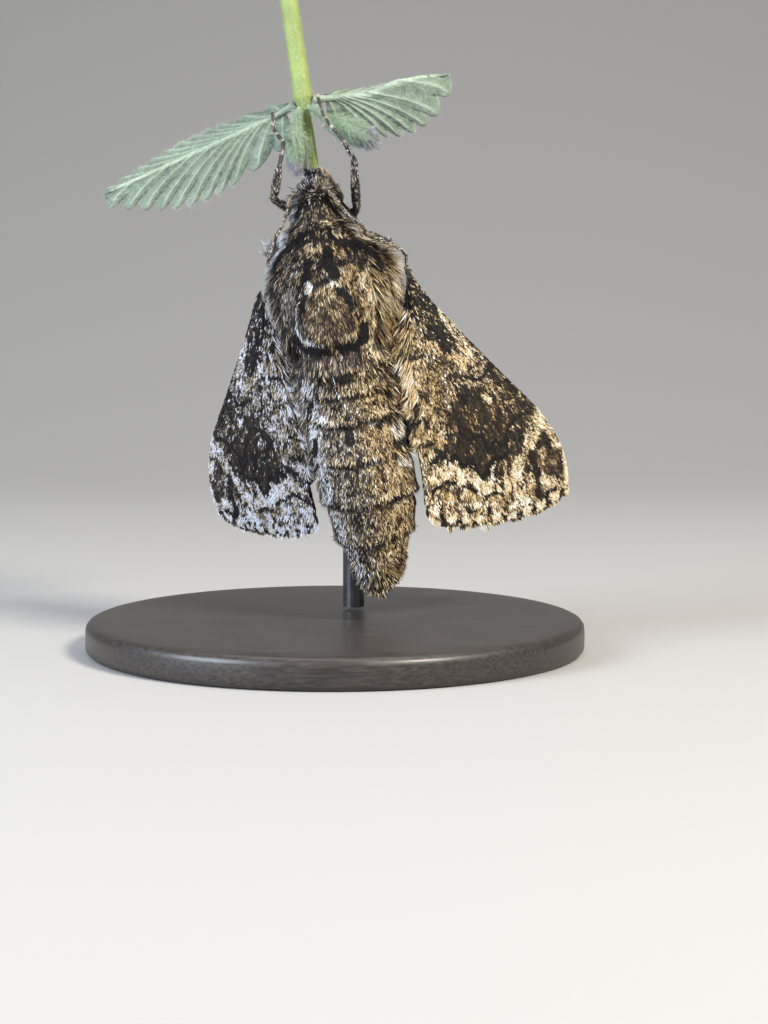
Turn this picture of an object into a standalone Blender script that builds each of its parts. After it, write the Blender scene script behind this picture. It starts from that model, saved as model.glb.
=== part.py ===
"""Pawpaw sphinx moth, life size, clinging head up to a cut sprig of mint on a display stand.

The moth and its sprig are shaped in the moth's own frame, in millimetres: +Z runs to the
head, -Y comes out of its back and +X is its right side. One empty leans and turns that
frame above the stand, whose base lies on Z = 0 with the origin at its middle.
"""

import bisect
import math
import random

import bmesh
import bpy
import numpy as np
from mathutils import Matrix, Vector

MM = 0.001
GAP = 0.3

# Pose of the moth's frame above the stand: lean to its left, turn of its back, place in mm
LEAN = math.radians(-8.42)
TURN = math.radians(-13.5)
MOTH_ORIGIN = (0.0, -3.0, 33.6)

# Places along the body, in mm from the middle of the thorax
HEAD_REAR = 6.1
THORAX_REAR = -5.2
TAIL_TIP = -27.0
SEGMENT_EDGES = (THORAX_REAR, -7.1, -9.1, -11.7, -15.3, -19.2, -22.8, TAIL_TIP)
EDGE_BULGE = 0.7

# The trunk's outline: place, sideways shift, half width, depth of back and of belly
TRUNK = (
    (-27.6, 0.05, 1.45, 1.15, 1.15),
    (-27.0, 0.15, 1.95, 1.60, 1.55),
    (-26.4, 0.25, 2.25, 1.85, 1.80),
    (-25.3, 0.30, 2.70, 2.25, 2.15),
    (-24.0, 0.35, 3.20, 2.75, 2.60),
    (-22.4, 0.35, 3.85, 3.35, 3.10),
    (-20.4, 0.45, 4.30, 3.80, 3.50),
    (-18.6, 0.35, 4.65, 4.20, 3.90),
    (-14.0, 0.20, 4.85, 4.50, 4.20),
    (-9.0, 0.10, 4.90, 4.60, 4.30),
    (-6.5, 0.05, 4.85, 4.65, 4.40),
    (-3.0, 0.10, 5.45, 5.15, 4.80),
    (-0.5, 0.10, 5.85, 5.25, 4.95),
    (1.9, 0.10, 5.70, 4.90, 4.75),
    (3.2, -0.10, 4.70, 4.45, 4.40),
    (4.2, -0.30, 3.95, 3.90, 3.90),
    (5.2, -0.25, 3.25, 3.40, 3.40),
    (6.1, -0.35, 2.70, 2.95, 2.95),
    (6.6, -0.40, 2.50, 2.70, 2.80),
    (8.2, -0.42, 2.05, 2.15, 2.40),
    (9.4, -0.30, 1.55, 1.55, 1.70),
    (9.9, -0.25, 1.05, 1.00, 1.10),
)

# Forewing outline in its own plane: mm towards the tail, mm outwards
FORE_COSTA = ((0.0, 0.8), (4.6, 4.5), (10.9, 9.8), (15.7, 13.9), (18.3, 15.1), (21.1, 15.6), (22.8, 15.2))
FORE_MARGIN = ((22.8, 15.2), (24.0, 13.4), (24.5, 10.6), (24.6, 7.4), (24.2, 3.6), (23.3, 1.2), (22.0, -0.1))
FORE_INNER = ((4.6, -2.6), (9.0, -2.6), (14.0, -1.5), (18.0, 0.0), (22.0, -0.1))
FORE_THICK = 0.5
FORE_VEINS = 7
FORE_ARCH = 0.7

# Hindwing outline in a plane of its own under the forewing
HIND_COSTA = ((3.6, 0.6), (7.5, 4.0), (12.0, 7.6), (16.0, 9.6), (18.6, 9.8))
HIND_MARGIN = ((18.6, 9.8), (20.0, 8.2), (20.4, 5.6), (20.0, 2.8), (18.6, 0.2))
HIND_INNER = ((6.2, -1.6), (11.0, -1.6), (15.0, -0.9), (18.6, 0.2))
HIND_THICK = 0.5
HIND_VEINS = 5
HIND_ARCH = 0.35
HIND_DROP = 1.3

VEIN_RIDGE = 0.13
SCALLOP = 0.14

# Each side's wing plane: hinge, slope away from the back, tilt of its rear, sweep, in degrees
WING_POSE = {
    "right": {"side": 1, "hinge": (5.6, -1.0, 1.0), "slope": 42.0, "tilt": 0.0, "sweep": 0.0},
    "left": {"side": -1, "hinge": (6.0, -1.1, 0.7), "slope": 36.0, "tilt": -9.5, "sweep": 6.0},
}

# Head furniture
EYE_RADIUS = 1.0
EYE_PLACE = (1.32, 0.75, 7.75)
EYE_DEPTH = 0.55
PALP_PATH = ((1.12, 2.1, 7.2), (1.15, 2.0, 8.5), (0.85, 1.1, 9.8), (0.52, -0.1, 10.55))
PALP_RADII = (0.45, 0.62, 0.60, 0.26)
ANTENNA_LIE = ((8.9, 60, 0.32), (8.75, 56, 0.62), (8.1, 44, 0.62), (7.2, 34, 0.58), (6.2, 29, 0.62),
               (5.2, 24, 0.66), (4.2, 18, 0.66), (3.3, 8, 0.72), (2.6, -6, 0.85), (1.9, -20, 1.1))
ANTENNA_UNDER_WING = ((2.0, 2.3), (4.4, 4.2), (6.6, 6.0))
ANTENNA_RADIUS = 0.24
COIL_RADIUS = 1.0
COIL_PITCH = 0.66
COIL_TURNS = 1.25
COIL_TUBE = 0.25

# The sprig: stem stations (place, shift, depth, half width) and the leaf pair's node
STEM_DEPTH = 7.4
STEM_SHIFT = -2.2
STEM_TOP = 27.2
STEM_NODE = 17.2
STEM_END = -13.6

# The stand
BASE_RADIUS = 23.0
BASE_THICK = 3.0
BASE_BEVEL = 0.6
BASE_SIDES = 48
ROD_RADIUS = 1.0
ROD_SIDES = 20

MATERIALS = {
    "dark_scales": ((0.10, 0.085, 0.065), 0.75),
    "belly_scales": ((0.30, 0.26, 0.20), 0.8),
    "wing_scales": ((0.13, 0.11, 0.08), 0.7),
    "hindwing_scales": ((0.20, 0.17, 0.13), 0.75),
    "leg_scales": ((0.12, 0.09, 0.07), 0.7),
    "feeler": ((0.45, 0.40, 0.30), 0.6),
    "eye_lens": ((0.02, 0.015, 0.012), 0.15),
    "stem_green": ((0.36, 0.48, 0.12), 0.5),
    "leaf_green": ((0.30, 0.42, 0.27), 0.7),
    "bud_down": ((0.42, 0.50, 0.36), 0.85),
    "stand_black": ((0.03, 0.03, 0.03), 0.4),
}


def material(kind):
    """The named finish, made once as a Principled BSDF."""
    if kind in bpy.data.materials:
        return bpy.data.materials[kind]
    colour, roughness = MATERIALS[kind]
    finish = bpy.data.materials.new(kind)
    finish.use_nodes = True
    shader = finish.node_tree.nodes["Principled BSDF"]
    shader.inputs["Base Color"].default_value = (*colour, 1.0)
    shader.inputs["Roughness"].default_value = roughness
    shader.inputs["Metallic"].default_value = 0.0
    return finish


def add_object(name, points, faces, kind, carrier=None):
    """A mesh object from points in mm, turned outwards, under the empty that carries it."""
    mesh = bpy.data.meshes.new(name)
    mesh.from_pydata([tuple(float(c) * MM for c in p) for p in points], [], faces)
    shaped = bmesh.new()
    shaped.from_mesh(mesh)
    bmesh.ops.recalc_face_normals(shaped, faces=shaped.faces)
    shaped.to_mesh(mesh)
    shaped.free()
    mesh.materials.append(material(kind))
    piece = bpy.data.objects.new(name, mesh)
    bpy.context.collection.objects.link(piece)
    piece.parent = carrier
    return piece


def smooth(stations, place):
    """The values at a place along rows of stations, by a Catmull-Rom curve."""
    places = [row[0] for row in stations]
    place = min(max(place, places[0]), places[-1])
    i = min(max(bisect.bisect_right(places, place) - 1, 0), len(stations) - 2)
    rows = [np.array(stations[min(max(k, 0), len(stations) - 1)], float) for k in (i - 1, i, i + 1, i + 2)]
    span = rows[2][0] - rows[1][0]
    t = (place - rows[1][0]) / span
    lead = (rows[2] - rows[0]) / max(rows[2][0] - rows[0][0], 1e-9) * span
    tail = (rows[3] - rows[1]) / max(rows[3][0] - rows[1][0], 1e-9) * span
    blend = ((2 * t**3 - 3 * t**2 + 1) * rows[1] + (t**3 - 2 * t**2 + t) * lead
             + (3 * t**2 - 2 * t**3) * rows[2] + (t**3 - t**2) * tail)
    return blend[1:]


def along(points, share):
    """A point at a share of the way along a smooth curve through the points."""
    points = np.array(points, float)
    steps = np.linalg.norm(np.diff(points, axis=0), axis=1)
    reach = np.concatenate(([0.0], np.cumsum(steps)))
    return smooth(np.column_stack((reach, points)), share * reach[-1])


def ease(value, low, high):
    """0 below low, 1 above high, and a soft rise between."""
    t = min(max((value - low) / (high - low), 0.0), 1.0)
    return t * t * (3 - 2 * t)


def loft(rings):
    """Points and faces of a closed skin over rings of equal count, with a fan on each end."""
    count = len(rings[0])
    points = [p for ring in rings for p in ring]
    faces = []
    for r in range(len(rings) - 1):
        for k in range(count):
            a = r * count + k
            b = r * count + (k + 1) % count
            faces.append((a, b, b + count))
            faces.append((a, b + count, a + count))
    for start in (0, (len(rings) - 1) * count):
        hub = len(points)
        points.append(np.mean(points[start:start + count], axis=0))
        faces += [(start + k, start + (k + 1) % count, hub) for k in range(count)]
    return points, faces


def tube(path, radii, sides, normal=None):
    """A closed tube along a path, its rings turned without twist."""
    path = [np.array(p, float) for p in path]
    rings = []
    side_way = None
    for i, centre in enumerate(path):
        ahead = path[min(i + 1, len(path) - 1)] - path[max(i - 1, 0)]
        if i == 0 and normal is not None:
            ahead = np.array(normal, float)
        ahead = ahead / np.linalg.norm(ahead)
        if side_way is None:
            seed = np.array((1.0, 0.0, 0.0)) if abs(ahead[0]) < 0.8 else np.array((0.0, 1.0, 0.0))
            side_way = np.cross(ahead, seed)
        side_way = side_way - ahead * float(side_way @ ahead)
        side_way = side_way / np.linalg.norm(side_way)
        other = np.cross(ahead, side_way)
        rings.append([centre + radii[i] * (math.cos(a) * side_way + math.sin(a) * other)
                      for a in np.linspace(0, 2 * math.pi, sides, endpoint=False)])
    return loft(rings)


def fuse(name, pieces, kind, carrier, cutters=()):
    """One closed body from overlapping closed pieces, with the cutters' space taken out."""
    bpy.context.view_layer.update()
    group = bpy.data.collections.new(name + "_pieces")
    bpy.context.scene.collection.children.link(group)
    body = add_object(name, *pieces[0], kind, carrier)
    for n, piece in enumerate(pieces[1:]):
        part = add_object(f"{name}_piece_{n}", *piece, kind, carrier)
        group.objects.link(part)
        bpy.context.collection.objects.unlink(part)
    holes = bpy.data.collections.new(name + "_cutters")
    bpy.context.scene.collection.children.link(holes)
    for n, cutter in enumerate(cutters):
        part = add_object(f"{name}_cutter_{n}", *cutter, kind, carrier)
        holes.objects.link(part)
        bpy.context.collection.objects.unlink(part)
    for operation, source in (("UNION", group), ("DIFFERENCE", holes)):
        if not source.objects:
            continue
        joint = body.modifiers.new(operation.lower(), "BOOLEAN")
        joint.operation = operation
        joint.operand_type = "COLLECTION"
        joint.collection = source
        joint.solver = "MANIFOLD"
    bpy.context.view_layer.update()
    joined = bpy.data.meshes.new_from_object(body.evaluated_get(bpy.context.evaluated_depsgraph_get()))
    body.modifiers.clear()
    body.data = joined
    for source in (group, holes):
        for part in list(source.objects):
            bpy.data.objects.remove(part)
        bpy.data.collections.remove(source)
    keep_largest(joined)
    return body


def keep_largest(mesh):
    """Drop all but the largest closed surface, by faces that share an edge."""
    shaped = bmesh.new()
    shaped.from_mesh(mesh)
    bmesh.ops.triangulate(shaped, faces=shaped.faces)
    left = set(shaped.faces)
    shells = []
    while left:
        front = [left.pop()]
        shell = set(front)
        while front:
            for edge in front.pop().edges:
                for face in edge.link_faces:
                    if face in left:
                        left.discard(face)
                        shell.add(face)
                        front.append(face)
        shells.append(shell)
    keep = max(shells, key=len)
    bmesh.ops.delete(shaped, geom=[f for f in shaped.faces if f not in keep], context="FACES")
    shaped.to_mesh(mesh)
    shaped.free()


def relief(place, angle):
    """Height in mm of the collar, shoulder flaps and rear shield on the thorax."""
    back = math.sin(angle)
    from_middle = abs(math.degrees(angle) - 90.0)
    upper = ease(back, -0.3, 0.3)
    collar = 0.28 * ease(place, 4.35, 4.75) * (1 - ease(place, 5.2, 6.0)) * upper
    flap_half = 17.0 * (1 - 0.45 * ease(-place, 0.0, 5.5))
    flap_edge = 1 - ease(abs(from_middle - 52.0), flap_half * 0.6, flap_half)
    flap = 0.38 * flap_edge * ease(place, -5.2, -4.2) * (1 - ease(place, 3.2, 4.2)) * upper
    across = (from_middle / 34.0) ** 2 + ((place + 2.4) / 2.7) ** 2
    shield = 0.45 * (1 - ease(across, 0.35, 1.05))
    saddle = 0.12 * (1 - ease(from_middle, 18, 30)) * ease(place, -0.5, 1.0) * (1 - ease(place, 3.0, 4.0))
    return collar + flap + shield + saddle


def trunk_point(place, angle, lift=0.0):
    """A point on the trunk; angle runs from the moth's right over its back to its left."""
    shift, half, back, belly = smooth(TRUNK, place)
    depth = back if math.sin(angle) > 0 else belly
    grown = lift
    if THORAX_REAR <= place <= HEAD_REAR and math.sin(angle) > -0.4:
        grown += relief(place, angle)
    bulge = EDGE_BULGE * ease(-place, 1.5, 5.0) * math.sin(angle) ** 2
    return np.array((shift + (half + grown) * math.cos(angle),
                     -(depth + grown) * math.sin(angle),
                     place - bulge))


def trunk_normal(place, angle):
    """The way straight out of the trunk's surface."""
    step = 0.05
    round_way = trunk_point(place, angle + step) - trunk_point(place, angle - step)
    long_way = trunk_point(place + step, angle) - trunk_point(place - step, angle)
    normal = np.cross(long_way, round_way)
    return normal / np.linalg.norm(normal)


def trunk_clearance(point):
    """About how far a point lies outside the trunk, in mm."""
    shift, half, back, belly = smooth(TRUNK, point[2])
    x = point[0] - shift
    y = -point[1]
    depth = back if y > 0 else belly
    angle = math.atan2(y / depth, x / half)
    raised = relief(point[2], angle) if THORAX_REAR <= point[2] <= HEAD_REAR and y > 0 else 0.15
    return math.hypot(x, y) - math.hypot(half * math.cos(angle), depth * math.sin(angle)) - raised


def trunk_ring(place, sides, lift=0.0):
    return [trunk_point(place, a, lift) for a in np.linspace(0, 2 * math.pi, sides, endpoint=False)]


def dome(centre, radius, inner, side, rings, sides):
    """A dome that bulges sideways from a flat face at inner mm from its centre."""
    first = math.acos(inner / radius)
    loops = []
    for i in range(rings):
        polar = first * (1 - i / rings)
        loops.append([np.array((centre[0] + side * radius * math.cos(polar),
                                centre[1] + radius * math.sin(polar) * math.cos(a),
                                centre[2] + radius * math.sin(polar) * math.sin(a)))
                      for a in np.linspace(0, 2 * math.pi, sides, endpoint=False)])
    points, faces = loft(loops)
    points[-1] = np.array((centre[0] + side * radius, centre[1], centre[2]))
    return points, faces


def make_head(carrier):
    """Head capsule with its two palps, cut to seat the eyes."""
    shift = smooth(TRUNK, EYE_PLACE[2])[0]
    places = (HEAD_REAR + GAP / 2, 6.8, 7.4, 8.0, 8.6, 9.1, 9.5, 9.9)
    rings = []
    for place in places:
        ring = trunk_ring(place, 24)
        for p in ring:
            if p[1] > 0:
                p[0] = shift + (p[0] - shift) * (1 - 0.2 * ease(p[1], 0.0, 1.0) * ease(place, 6.4, 7.4))
        rings.append(ring)
    pieces = [loft(rings)]
    for side in (1, -1):
        path = [np.array((shift + side * x, y, z)) for x, y, z in PALP_PATH]
        stations = np.linspace(0, 1, 7)
        radii = [float(smooth(np.column_stack((np.linspace(0, 1, 4), PALP_RADII)), s)[0]) for s in stations]
        pieces.append(tube([along(path, s) for s in stations], radii, 8))
    sockets = []
    for side in (1, -1):
        centre = (shift + side * EYE_PLACE[0], EYE_PLACE[1], EYE_PLACE[2])
        sockets.append(dome(centre, EYE_RADIUS + GAP, -(EYE_DEPTH + GAP), side, 5, 14))
    fuse("head", pieces, "dark_scales", carrier, sockets)
    for name, side in (("eye_right", 1), ("eye_left", -1)):
        centre = (shift + side * EYE_PLACE[0], EYE_PLACE[1], EYE_PLACE[2])
        add_object(name, *dome(centre, EYE_RADIUS, -EYE_DEPTH, side, 6, 14), "eye_lens", carrier)


def make_proboscis(carrier):
    """The tongue, rolled up in a flat spiral between the palps."""
    shift, _, _, belly = smooth(TRUNK, 8.4)
    centre = np.array((shift, belly + GAP + COIL_RADIUS + COIL_TUBE, 8.5))
    steps = 18
    path = []
    radii = []
    for i in range(steps + 1):
        turn = COIL_TURNS * i / steps
        reach = COIL_RADIUS - COIL_PITCH * turn
        angle = math.radians(-90 - 360 * turn)
        path.append(centre + reach * np.array((0.0, math.sin(angle), math.cos(angle))))
        radii.append(COIL_TUBE * (1 - 0.35 * i / steps))
    add_object("proboscis", *tube(path, radii, 6), "leg_scales", carrier)


def make_thorax(carrier):
    """Thorax with collar, shoulder flaps and the round rear shield raised on it."""
    top = HEAD_REAR - GAP / 2
    bottom = THORAX_REAR + GAP / 2
    places = np.concatenate(([top, 5.4, 4.9, 4.6, 4.3], np.linspace(3.8, -4.6, 13), [bottom]))
    add_object("thorax", *loft([trunk_ring(p, 32) for p in places]), "dark_scales", carrier)


def make_abdomen(carrier):
    """Abdomen of seven rings, each with a rear edge that stands over the next."""
    rings = []
    for front, rear in zip(SEGMENT_EDGES[:-1], SEGMENT_EDGES[1:]):
        front = THORAX_REAR - GAP / 2 if front == THORAX_REAR else front
        length = front - rear
        last = rear == TAIL_TIP
        for share, lift in ((0.0, -0.16), (0.3, -0.02), (0.7, 0.04), (0.985, 0.12)):
            if last and share == 0.985:
                continue
            rings.append(trunk_ring(front - 0.03 - share * (length - 0.03), 28, lift))
    for place, lift in ((TAIL_TIP + 0.7, 0.05), (TAIL_TIP + 0.1, -0.05), (TAIL_TIP - 0.3, -0.4)):
        rings.append(trunk_ring(place, 28, lift))
    add_object("abdomen", *loft(rings), "dark_scales", carrier)


def wing_axes(pose, drop=0.0):
    """Hinge and unit ways tailwards, outwards and up from the wing of one side."""
    side = pose["side"]
    slope, tilt, sweep = (math.radians(pose[k]) for k in ("slope", "tilt", "sweep"))
    outward = np.array((side * math.cos(slope), math.sin(slope), 0.0))
    rise = np.array((side * math.sin(slope), -math.cos(slope), 0.0))
    tailward = np.array((0.0, 0.0, -1.0)) * math.cos(tilt) + rise * math.sin(tilt)
    up = rise * math.cos(tilt) + np.array((0.0, 0.0, 1.0)) * math.sin(tilt)
    swept = tailward * math.cos(sweep) + outward * math.sin(sweep)
    spread = outward * math.cos(sweep) - tailward * math.sin(sweep)
    hinge = np.array((side * pose["hinge"][0], pose["hinge"][1], pose["hinge"][2])) - drop * up
    return hinge, swept, spread, up


def wing_limits(axes, thick):
    """How near the body the wing may come at places along it, as two matching rows."""
    hinge, swept, spread, up = axes
    places = np.arange(0.0, 26.0, 0.5)
    nearest = []
    for tailwards in places:
        near, far = -6.0, 3.0
        while far - near > 0.005:
            outwards = (near + far) / 2
            middle = hinge + swept * tailwards + spread * outwards
            faces = (middle + up * thick / 2, middle - up * thick / 2)
            if min(trunk_clearance(p) for p in faces) >= GAP:
                far = outwards
            else:
                near = outwards
        nearest.append(far)
    return places, nearest


def wing_grid(axes, costa, margin, inner, thick, veins, arch, columns):
    """Rows of middle points of a wing from its leading edge inwards, with vein heights."""
    limits = wing_limits(axes, thick)

    def edge(points, share):
        s, t = along(points, share)
        return np.array((s, max(t, np.interp(s, *limits))))

    rows = veins * 4 + 1
    root = (edge(costa, 0.0), edge(inner, 0.0))
    tips = (np.array(costa[-1]), np.array(inner[-1]))
    grid = []
    for r in range(rows):
        b = r / (rows - 1)
        b_edge = b ** 0.9
        phase = r % 4
        ridge = VEIN_RIDGE if phase == 0 else 0.0
        row = []
        for c in range(columns + 1):
            a = (c / columns) ** 0.92
            root_line = (1 - b) * root[0] + b * root[1]
            root_line[1] = max(root_line[1], np.interp(root_line[0], *limits))
            outer = along(margin, b_edge)
            side_a = (1 - b) * edge(costa, a) + b * edge(inner, a)
            side_b = (1 - a) * root_line + a * outer
            corners = ((1 - a) * ((1 - b) * root[0] + b * root[1])
                       + a * ((1 - b) * tips[0] + b * tips[1]))
            s, t = side_a + side_b - corners
            if 0 < r < rows - 1:
                s += SCALLOP * a**6 * math.cos(math.pi * (phase - 2) / 2) * math.sin(math.pi * b)
            crown = math.sin(math.pi * min(b * 1.1, 1.0)) * math.sin(math.pi * min(0.15 + a * 0.85, 1.0))
            lift = arch * crown
            swell = ridge * (1 - 0.5 * a) * ease(a, 0.0, 0.15)
            row.append((s, t, lift, swell))
        grid.append(row)
    return grid


def sheet(grid, axes, thick):
    """A closed plate over a grid of middle points, its two faces split alike."""
    hinge, swept, spread, up = axes
    rows = len(grid)
    columns = len(grid[0])
    points = []
    for sign in (1, -1):
        for row in grid:
            for s, t, lift, swell in row:
                points.append(hinge + swept * s + spread * t + up * (lift + sign * (thick / 2 + swell)))
    other = rows * columns
    faces = []
    for r in range(rows - 1):
        for c in range(columns - 1):
            a = r * columns + c
            b, d, e = a + 1, a + columns, a + columns + 1
            for split in ((a, b, e), (a, e, d)):
                faces.append(split)
                faces.append(tuple(other + k for k in reversed(split)))
    rim = ([(0, c) for c in range(columns)] + [(r, columns - 1) for r in range(1, rows)]
           + [(rows - 1, c) for c in range(columns - 2, -1, -1)] + [(r, 0) for r in range(rows - 2, 0, -1)])
    loop = [r * columns + c for r, c in rim]
    for a, b in zip(loop, loop[1:] + loop[:1]):
        faces.append((b, a, a + other))
        faces.append((b, a + other, b + other))
    return points, faces


def make_wings(carrier):
    """Forewings over the flanks like a roof, and the hindwings folded away beneath them."""
    for word, pose in WING_POSE.items():
        axes = wing_axes(pose)
        grid = wing_grid(axes, FORE_COSTA, FORE_MARGIN, FORE_INNER, FORE_THICK, FORE_VEINS, FORE_ARCH, 10)
        add_object("forewing_" + word, *sheet(grid, axes, FORE_THICK), "wing_scales", carrier)
        axes = wing_axes(pose, HIND_DROP)
        grid = wing_grid(axes, HIND_COSTA, HIND_MARGIN, HIND_INNER, HIND_THICK, HIND_VEINS, HIND_ARCH, 7)
        add_object("hindwing_" + word, *sheet(grid, axes, HIND_THICK), "hindwing_scales", carrier)


def make_antennae(carrier):
    """Feelers laid back along the head and tucked in under the forewings' leading edges."""
    for word, pose in WING_POSE.items():
        lie = [(place, math.radians(degrees if pose["side"] > 0 else 180 - degrees), lift)
               for place, degrees, lift in ANTENNA_LIE]
        path = [trunk_point(*spot) for spot in lie]
        hinge, swept, spread, up = wing_axes(pose, FORE_THICK / 2 + GAP + ANTENNA_RADIUS + 0.25)
        path += [hinge + swept * s + spread * t for s, t in ANTENNA_UNDER_WING]
        stations = np.linspace(0, 1, 17)
        radii = [ANTENNA_RADIUS * (1.0 + 0.18 * ease(s, 0.5, 0.85)) * (1 - 0.72 * ease(s, 0.9, 1.0))
                 for s in stations]
        way = trunk_normal(*lie[0][:2])
        add_object("antenna_" + word, *tube([along(path, s) for s in stations], radii, 7, normal=way),
                   "feeler", carrier)


# Legs: root on the thorax (place, angle), then knee, heel and the foot's points
LEGS = {
    "leg_fore_left": {"root": (4.9, 250), "hip": (-2.3, 4.1, 5.9), "knee": (-4.8, 1.5, 8.4),
                      "heel": (-4.1, 2.4, 11.3),
                      "foot": ((-4.1, 2.4, 11.3), (-3.7, 3.6, 13.4), (-4.9, 5.4, 14.8), (-4.95, 6.1, 16.4)),
                      "girth": 0.38, "spurs": 0},
    "leg_fore_right": {"root": (4.9, 290), "hip": (1.0, 4.1, 5.6), "knee": (2.5, 2.3, 6.4),
                       "heel": (2.9, 2.6, 10.9),
                       "foot": ((2.9, 2.6, 10.9), (1.75, 3.7, 13.0), (0.15, 5.2, 15.1), (-0.45, 6.0, 17.1)),
                       "girth": 0.38, "spurs": 0},
    "leg_mid_left": {"root": (0.8, 236), "hip": (-3.7, 5.0, 1.5), "knee": (-6.3, 2.7, 3.7),
                     "heel": (-3.9, 6.6, 5.3),
                     "foot": ((-3.9, 6.6, 5.3), (-3.5, 7.1, 6.4), (-3.35, 7.4, 7.4), (-3.3, 7.5, 8.4)),
                     "girth": 0.42, "spurs": 1},
    "leg_mid_right": {"root": (0.8, 304), "hip": (3.7, 5.0, 1.4), "knee": (4.9, 3.2, 2.9),
                      "heel": (1.1, 7.3, 4.6),
                      "foot": ((1.1, 7.3, 4.6), (-0.2, 7.8, 5.6), (-0.95, 7.7, 6.8), (-1.1, 7.5, 7.9)),
                      "girth": 0.42, "spurs": 1},
    "leg_hind_left": {"root": (-3.1, 240), "hip": (-3.3, 5.2, -3.3), "knee": (-4.9, 6.1, -4.6),
                      "heel": (-3.9, 7.3, -8.6),
                      "foot": ((-3.9, 7.3, -8.6), (-3.45, 7.5, -9.9), (-3.3, 7.5, -11.2), (-3.3, 7.5, -12.6)),
                      "girth": 0.42, "spurs": 2},
    "leg_hind_right": {"root": (-3.1, 300), "hip": (3.1, 5.2, -3.3), "knee": (3.7, 6.6, -4.8),
                       "heel": (0.7, 8.1, -7.9),
                       "foot": ((0.7, 8.1, -7.9), (-0.4, 8.0, -8.9), (-1.0, 7.7, -10.1), (-1.1, 7.5, -11.4)),
                       "girth": 0.42, "spurs": 2},
}


def limb(start, end, first, middle, last, normal=None):
    """A tapered limb piece that swells in its middle."""
    start, end = np.array(start, float), np.array(end, float)
    shares = (0.0, 0.22, 0.5, 0.8, 1.0)
    radii = (first, (first + middle) / 2 + 0.02, middle, (middle + last) / 2, last)
    return tube([start + (end - start) * s for s in shares], radii, 7, normal)


def make_leg(name, plan, carrier):
    """One leg from its hip on the thorax to its two claws."""
    place, degrees = plan["root"]
    angle = math.radians(degrees)
    normal = trunk_normal(place, angle)
    root = trunk_point(place, angle) + normal * (GAP + 0.05)
    hip, knee, heel = (np.array(plan[k], float) for k in ("hip", "knee", "heel"))
    girth = plan["girth"]
    pieces = [
        limb(root, hip + (hip - root) * 0.12, girth * 1.25, girth * 1.35, girth * 0.95, normal=normal),
        limb(hip, knee, girth * 0.8, girth * 1.25, girth * 0.85),
        limb(knee, heel, girth * 0.9, girth * 1.15, girth * 0.75),
    ]
    beads = 5
    foot_path = []
    foot_radii = []
    for bead in range(beads):
        for share, swell in ((0.0, 0.84), (0.75, 1.0)):
            foot_path.append(along(plan["foot"], (bead + share) / beads))
            foot_radii.append(0.27 * swell * (1 - 0.04 * bead))
    foot_path.append(along(plan["foot"], 1.0))
    foot_radii.append(0.2)
    pieces.append(tube(foot_path, foot_radii, 6))
    toe = foot_path[-1]
    ahead = toe - foot_path[-3]
    ahead = ahead / np.linalg.norm(ahead)
    aside = np.cross(ahead, (0.0, 1.0, 0.0))
    aside = aside / np.linalg.norm(aside)
    for side in (1, -1):
        tip = toe + ahead * 0.42 + aside * side * 0.24
        pieces.append(tube([toe - ahead * 0.12, toe + ahead * 0.2 + aside * side * 0.16, tip],
                           (0.13, 0.12, 0.03), 4))
    shin = (heel - knee) / np.linalg.norm(heel - knee)
    sidewards = np.cross(shin, (0.0, 1.0, 0.0))
    sidewards = sidewards / np.linalg.norm(sidewards)
    for pair in range(plan["spurs"]):
        start = heel - (heel - knee) * (0.06 + 0.36 * pair)
        for side in (1, -1):
            end = start + shin * 0.95 + sidewards * side * 0.62
            pieces.append(tube([start, (start + end) / 2, end], (0.15, 0.14, 0.03), 4))
    fuse(name, pieces, "leg_scales", carrier)


def stem_half_width(place):
    """The stem swells at the leaf node and is stouter above it than below."""
    above = 0.5 + 0.34 * ease(place, STEM_NODE - 0.4, STEM_NODE + 0.6)
    return above + 0.22 * math.exp(-((place - STEM_NODE) / 0.7) ** 2)


def stem_ring(place):
    """A square with rounded corners, as a mint stem has."""
    half = stem_half_width(place)
    ring = []
    for a in np.linspace(0, 2 * math.pi, 12, endpoint=False):
        reach = half * (1.0 + 0.10 * math.cos(4 * (a - math.pi / 4)))
        ring.append(np.array((STEM_SHIFT + reach * math.cos(a), STEM_DEPTH + reach * math.sin(a), place)))
    return ring


def make_stem(carrier):
    low = np.linspace(STEM_END, STEM_NODE - 1.2, 8)
    high = (STEM_NODE - 0.6, STEM_NODE - 0.2, STEM_NODE + 0.2, STEM_NODE + 0.7, 19.6, 22.2, 24.8, STEM_TOP)
    rings = [stem_ring(place) for place in (*low, *high)]
    add_object("perch_stem", *loft(rings), "stem_green", carrier)


def stem_side(place, way):
    """A point just off the stem's side, the gap away from it."""
    reach = stem_half_width(place) * 1.1 + GAP
    return np.array((STEM_SHIFT, STEM_DEPTH, place)) + reach * way


# Leaves: base and tip of the blade, half width, fold of each half, teeth and upturned tip
LEAVES = {
    "perch_leaf_left": {"stalk": 16.9, "base": (-4.2, 7.9, 16.4), "tip": (-23.0, 7.2, 11.4),
                        "width": 4.3, "folds": (62.0, -4.0), "teeth": 11, "curl": 0.0},
    "perch_leaf_right": {"stalk": 17.1, "base": (-0.2, 7.9, 17.0), "tip": (11.2, 10.4, 16.1),
                         "width": 3.7, "folds": (74.0, 4.0), "teeth": 8, "curl": 1.3},
}
LEAF_THICK = 0.5
LEAF_RIDGE = 0.12
LEAF_TOOTH = 0.5


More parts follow.
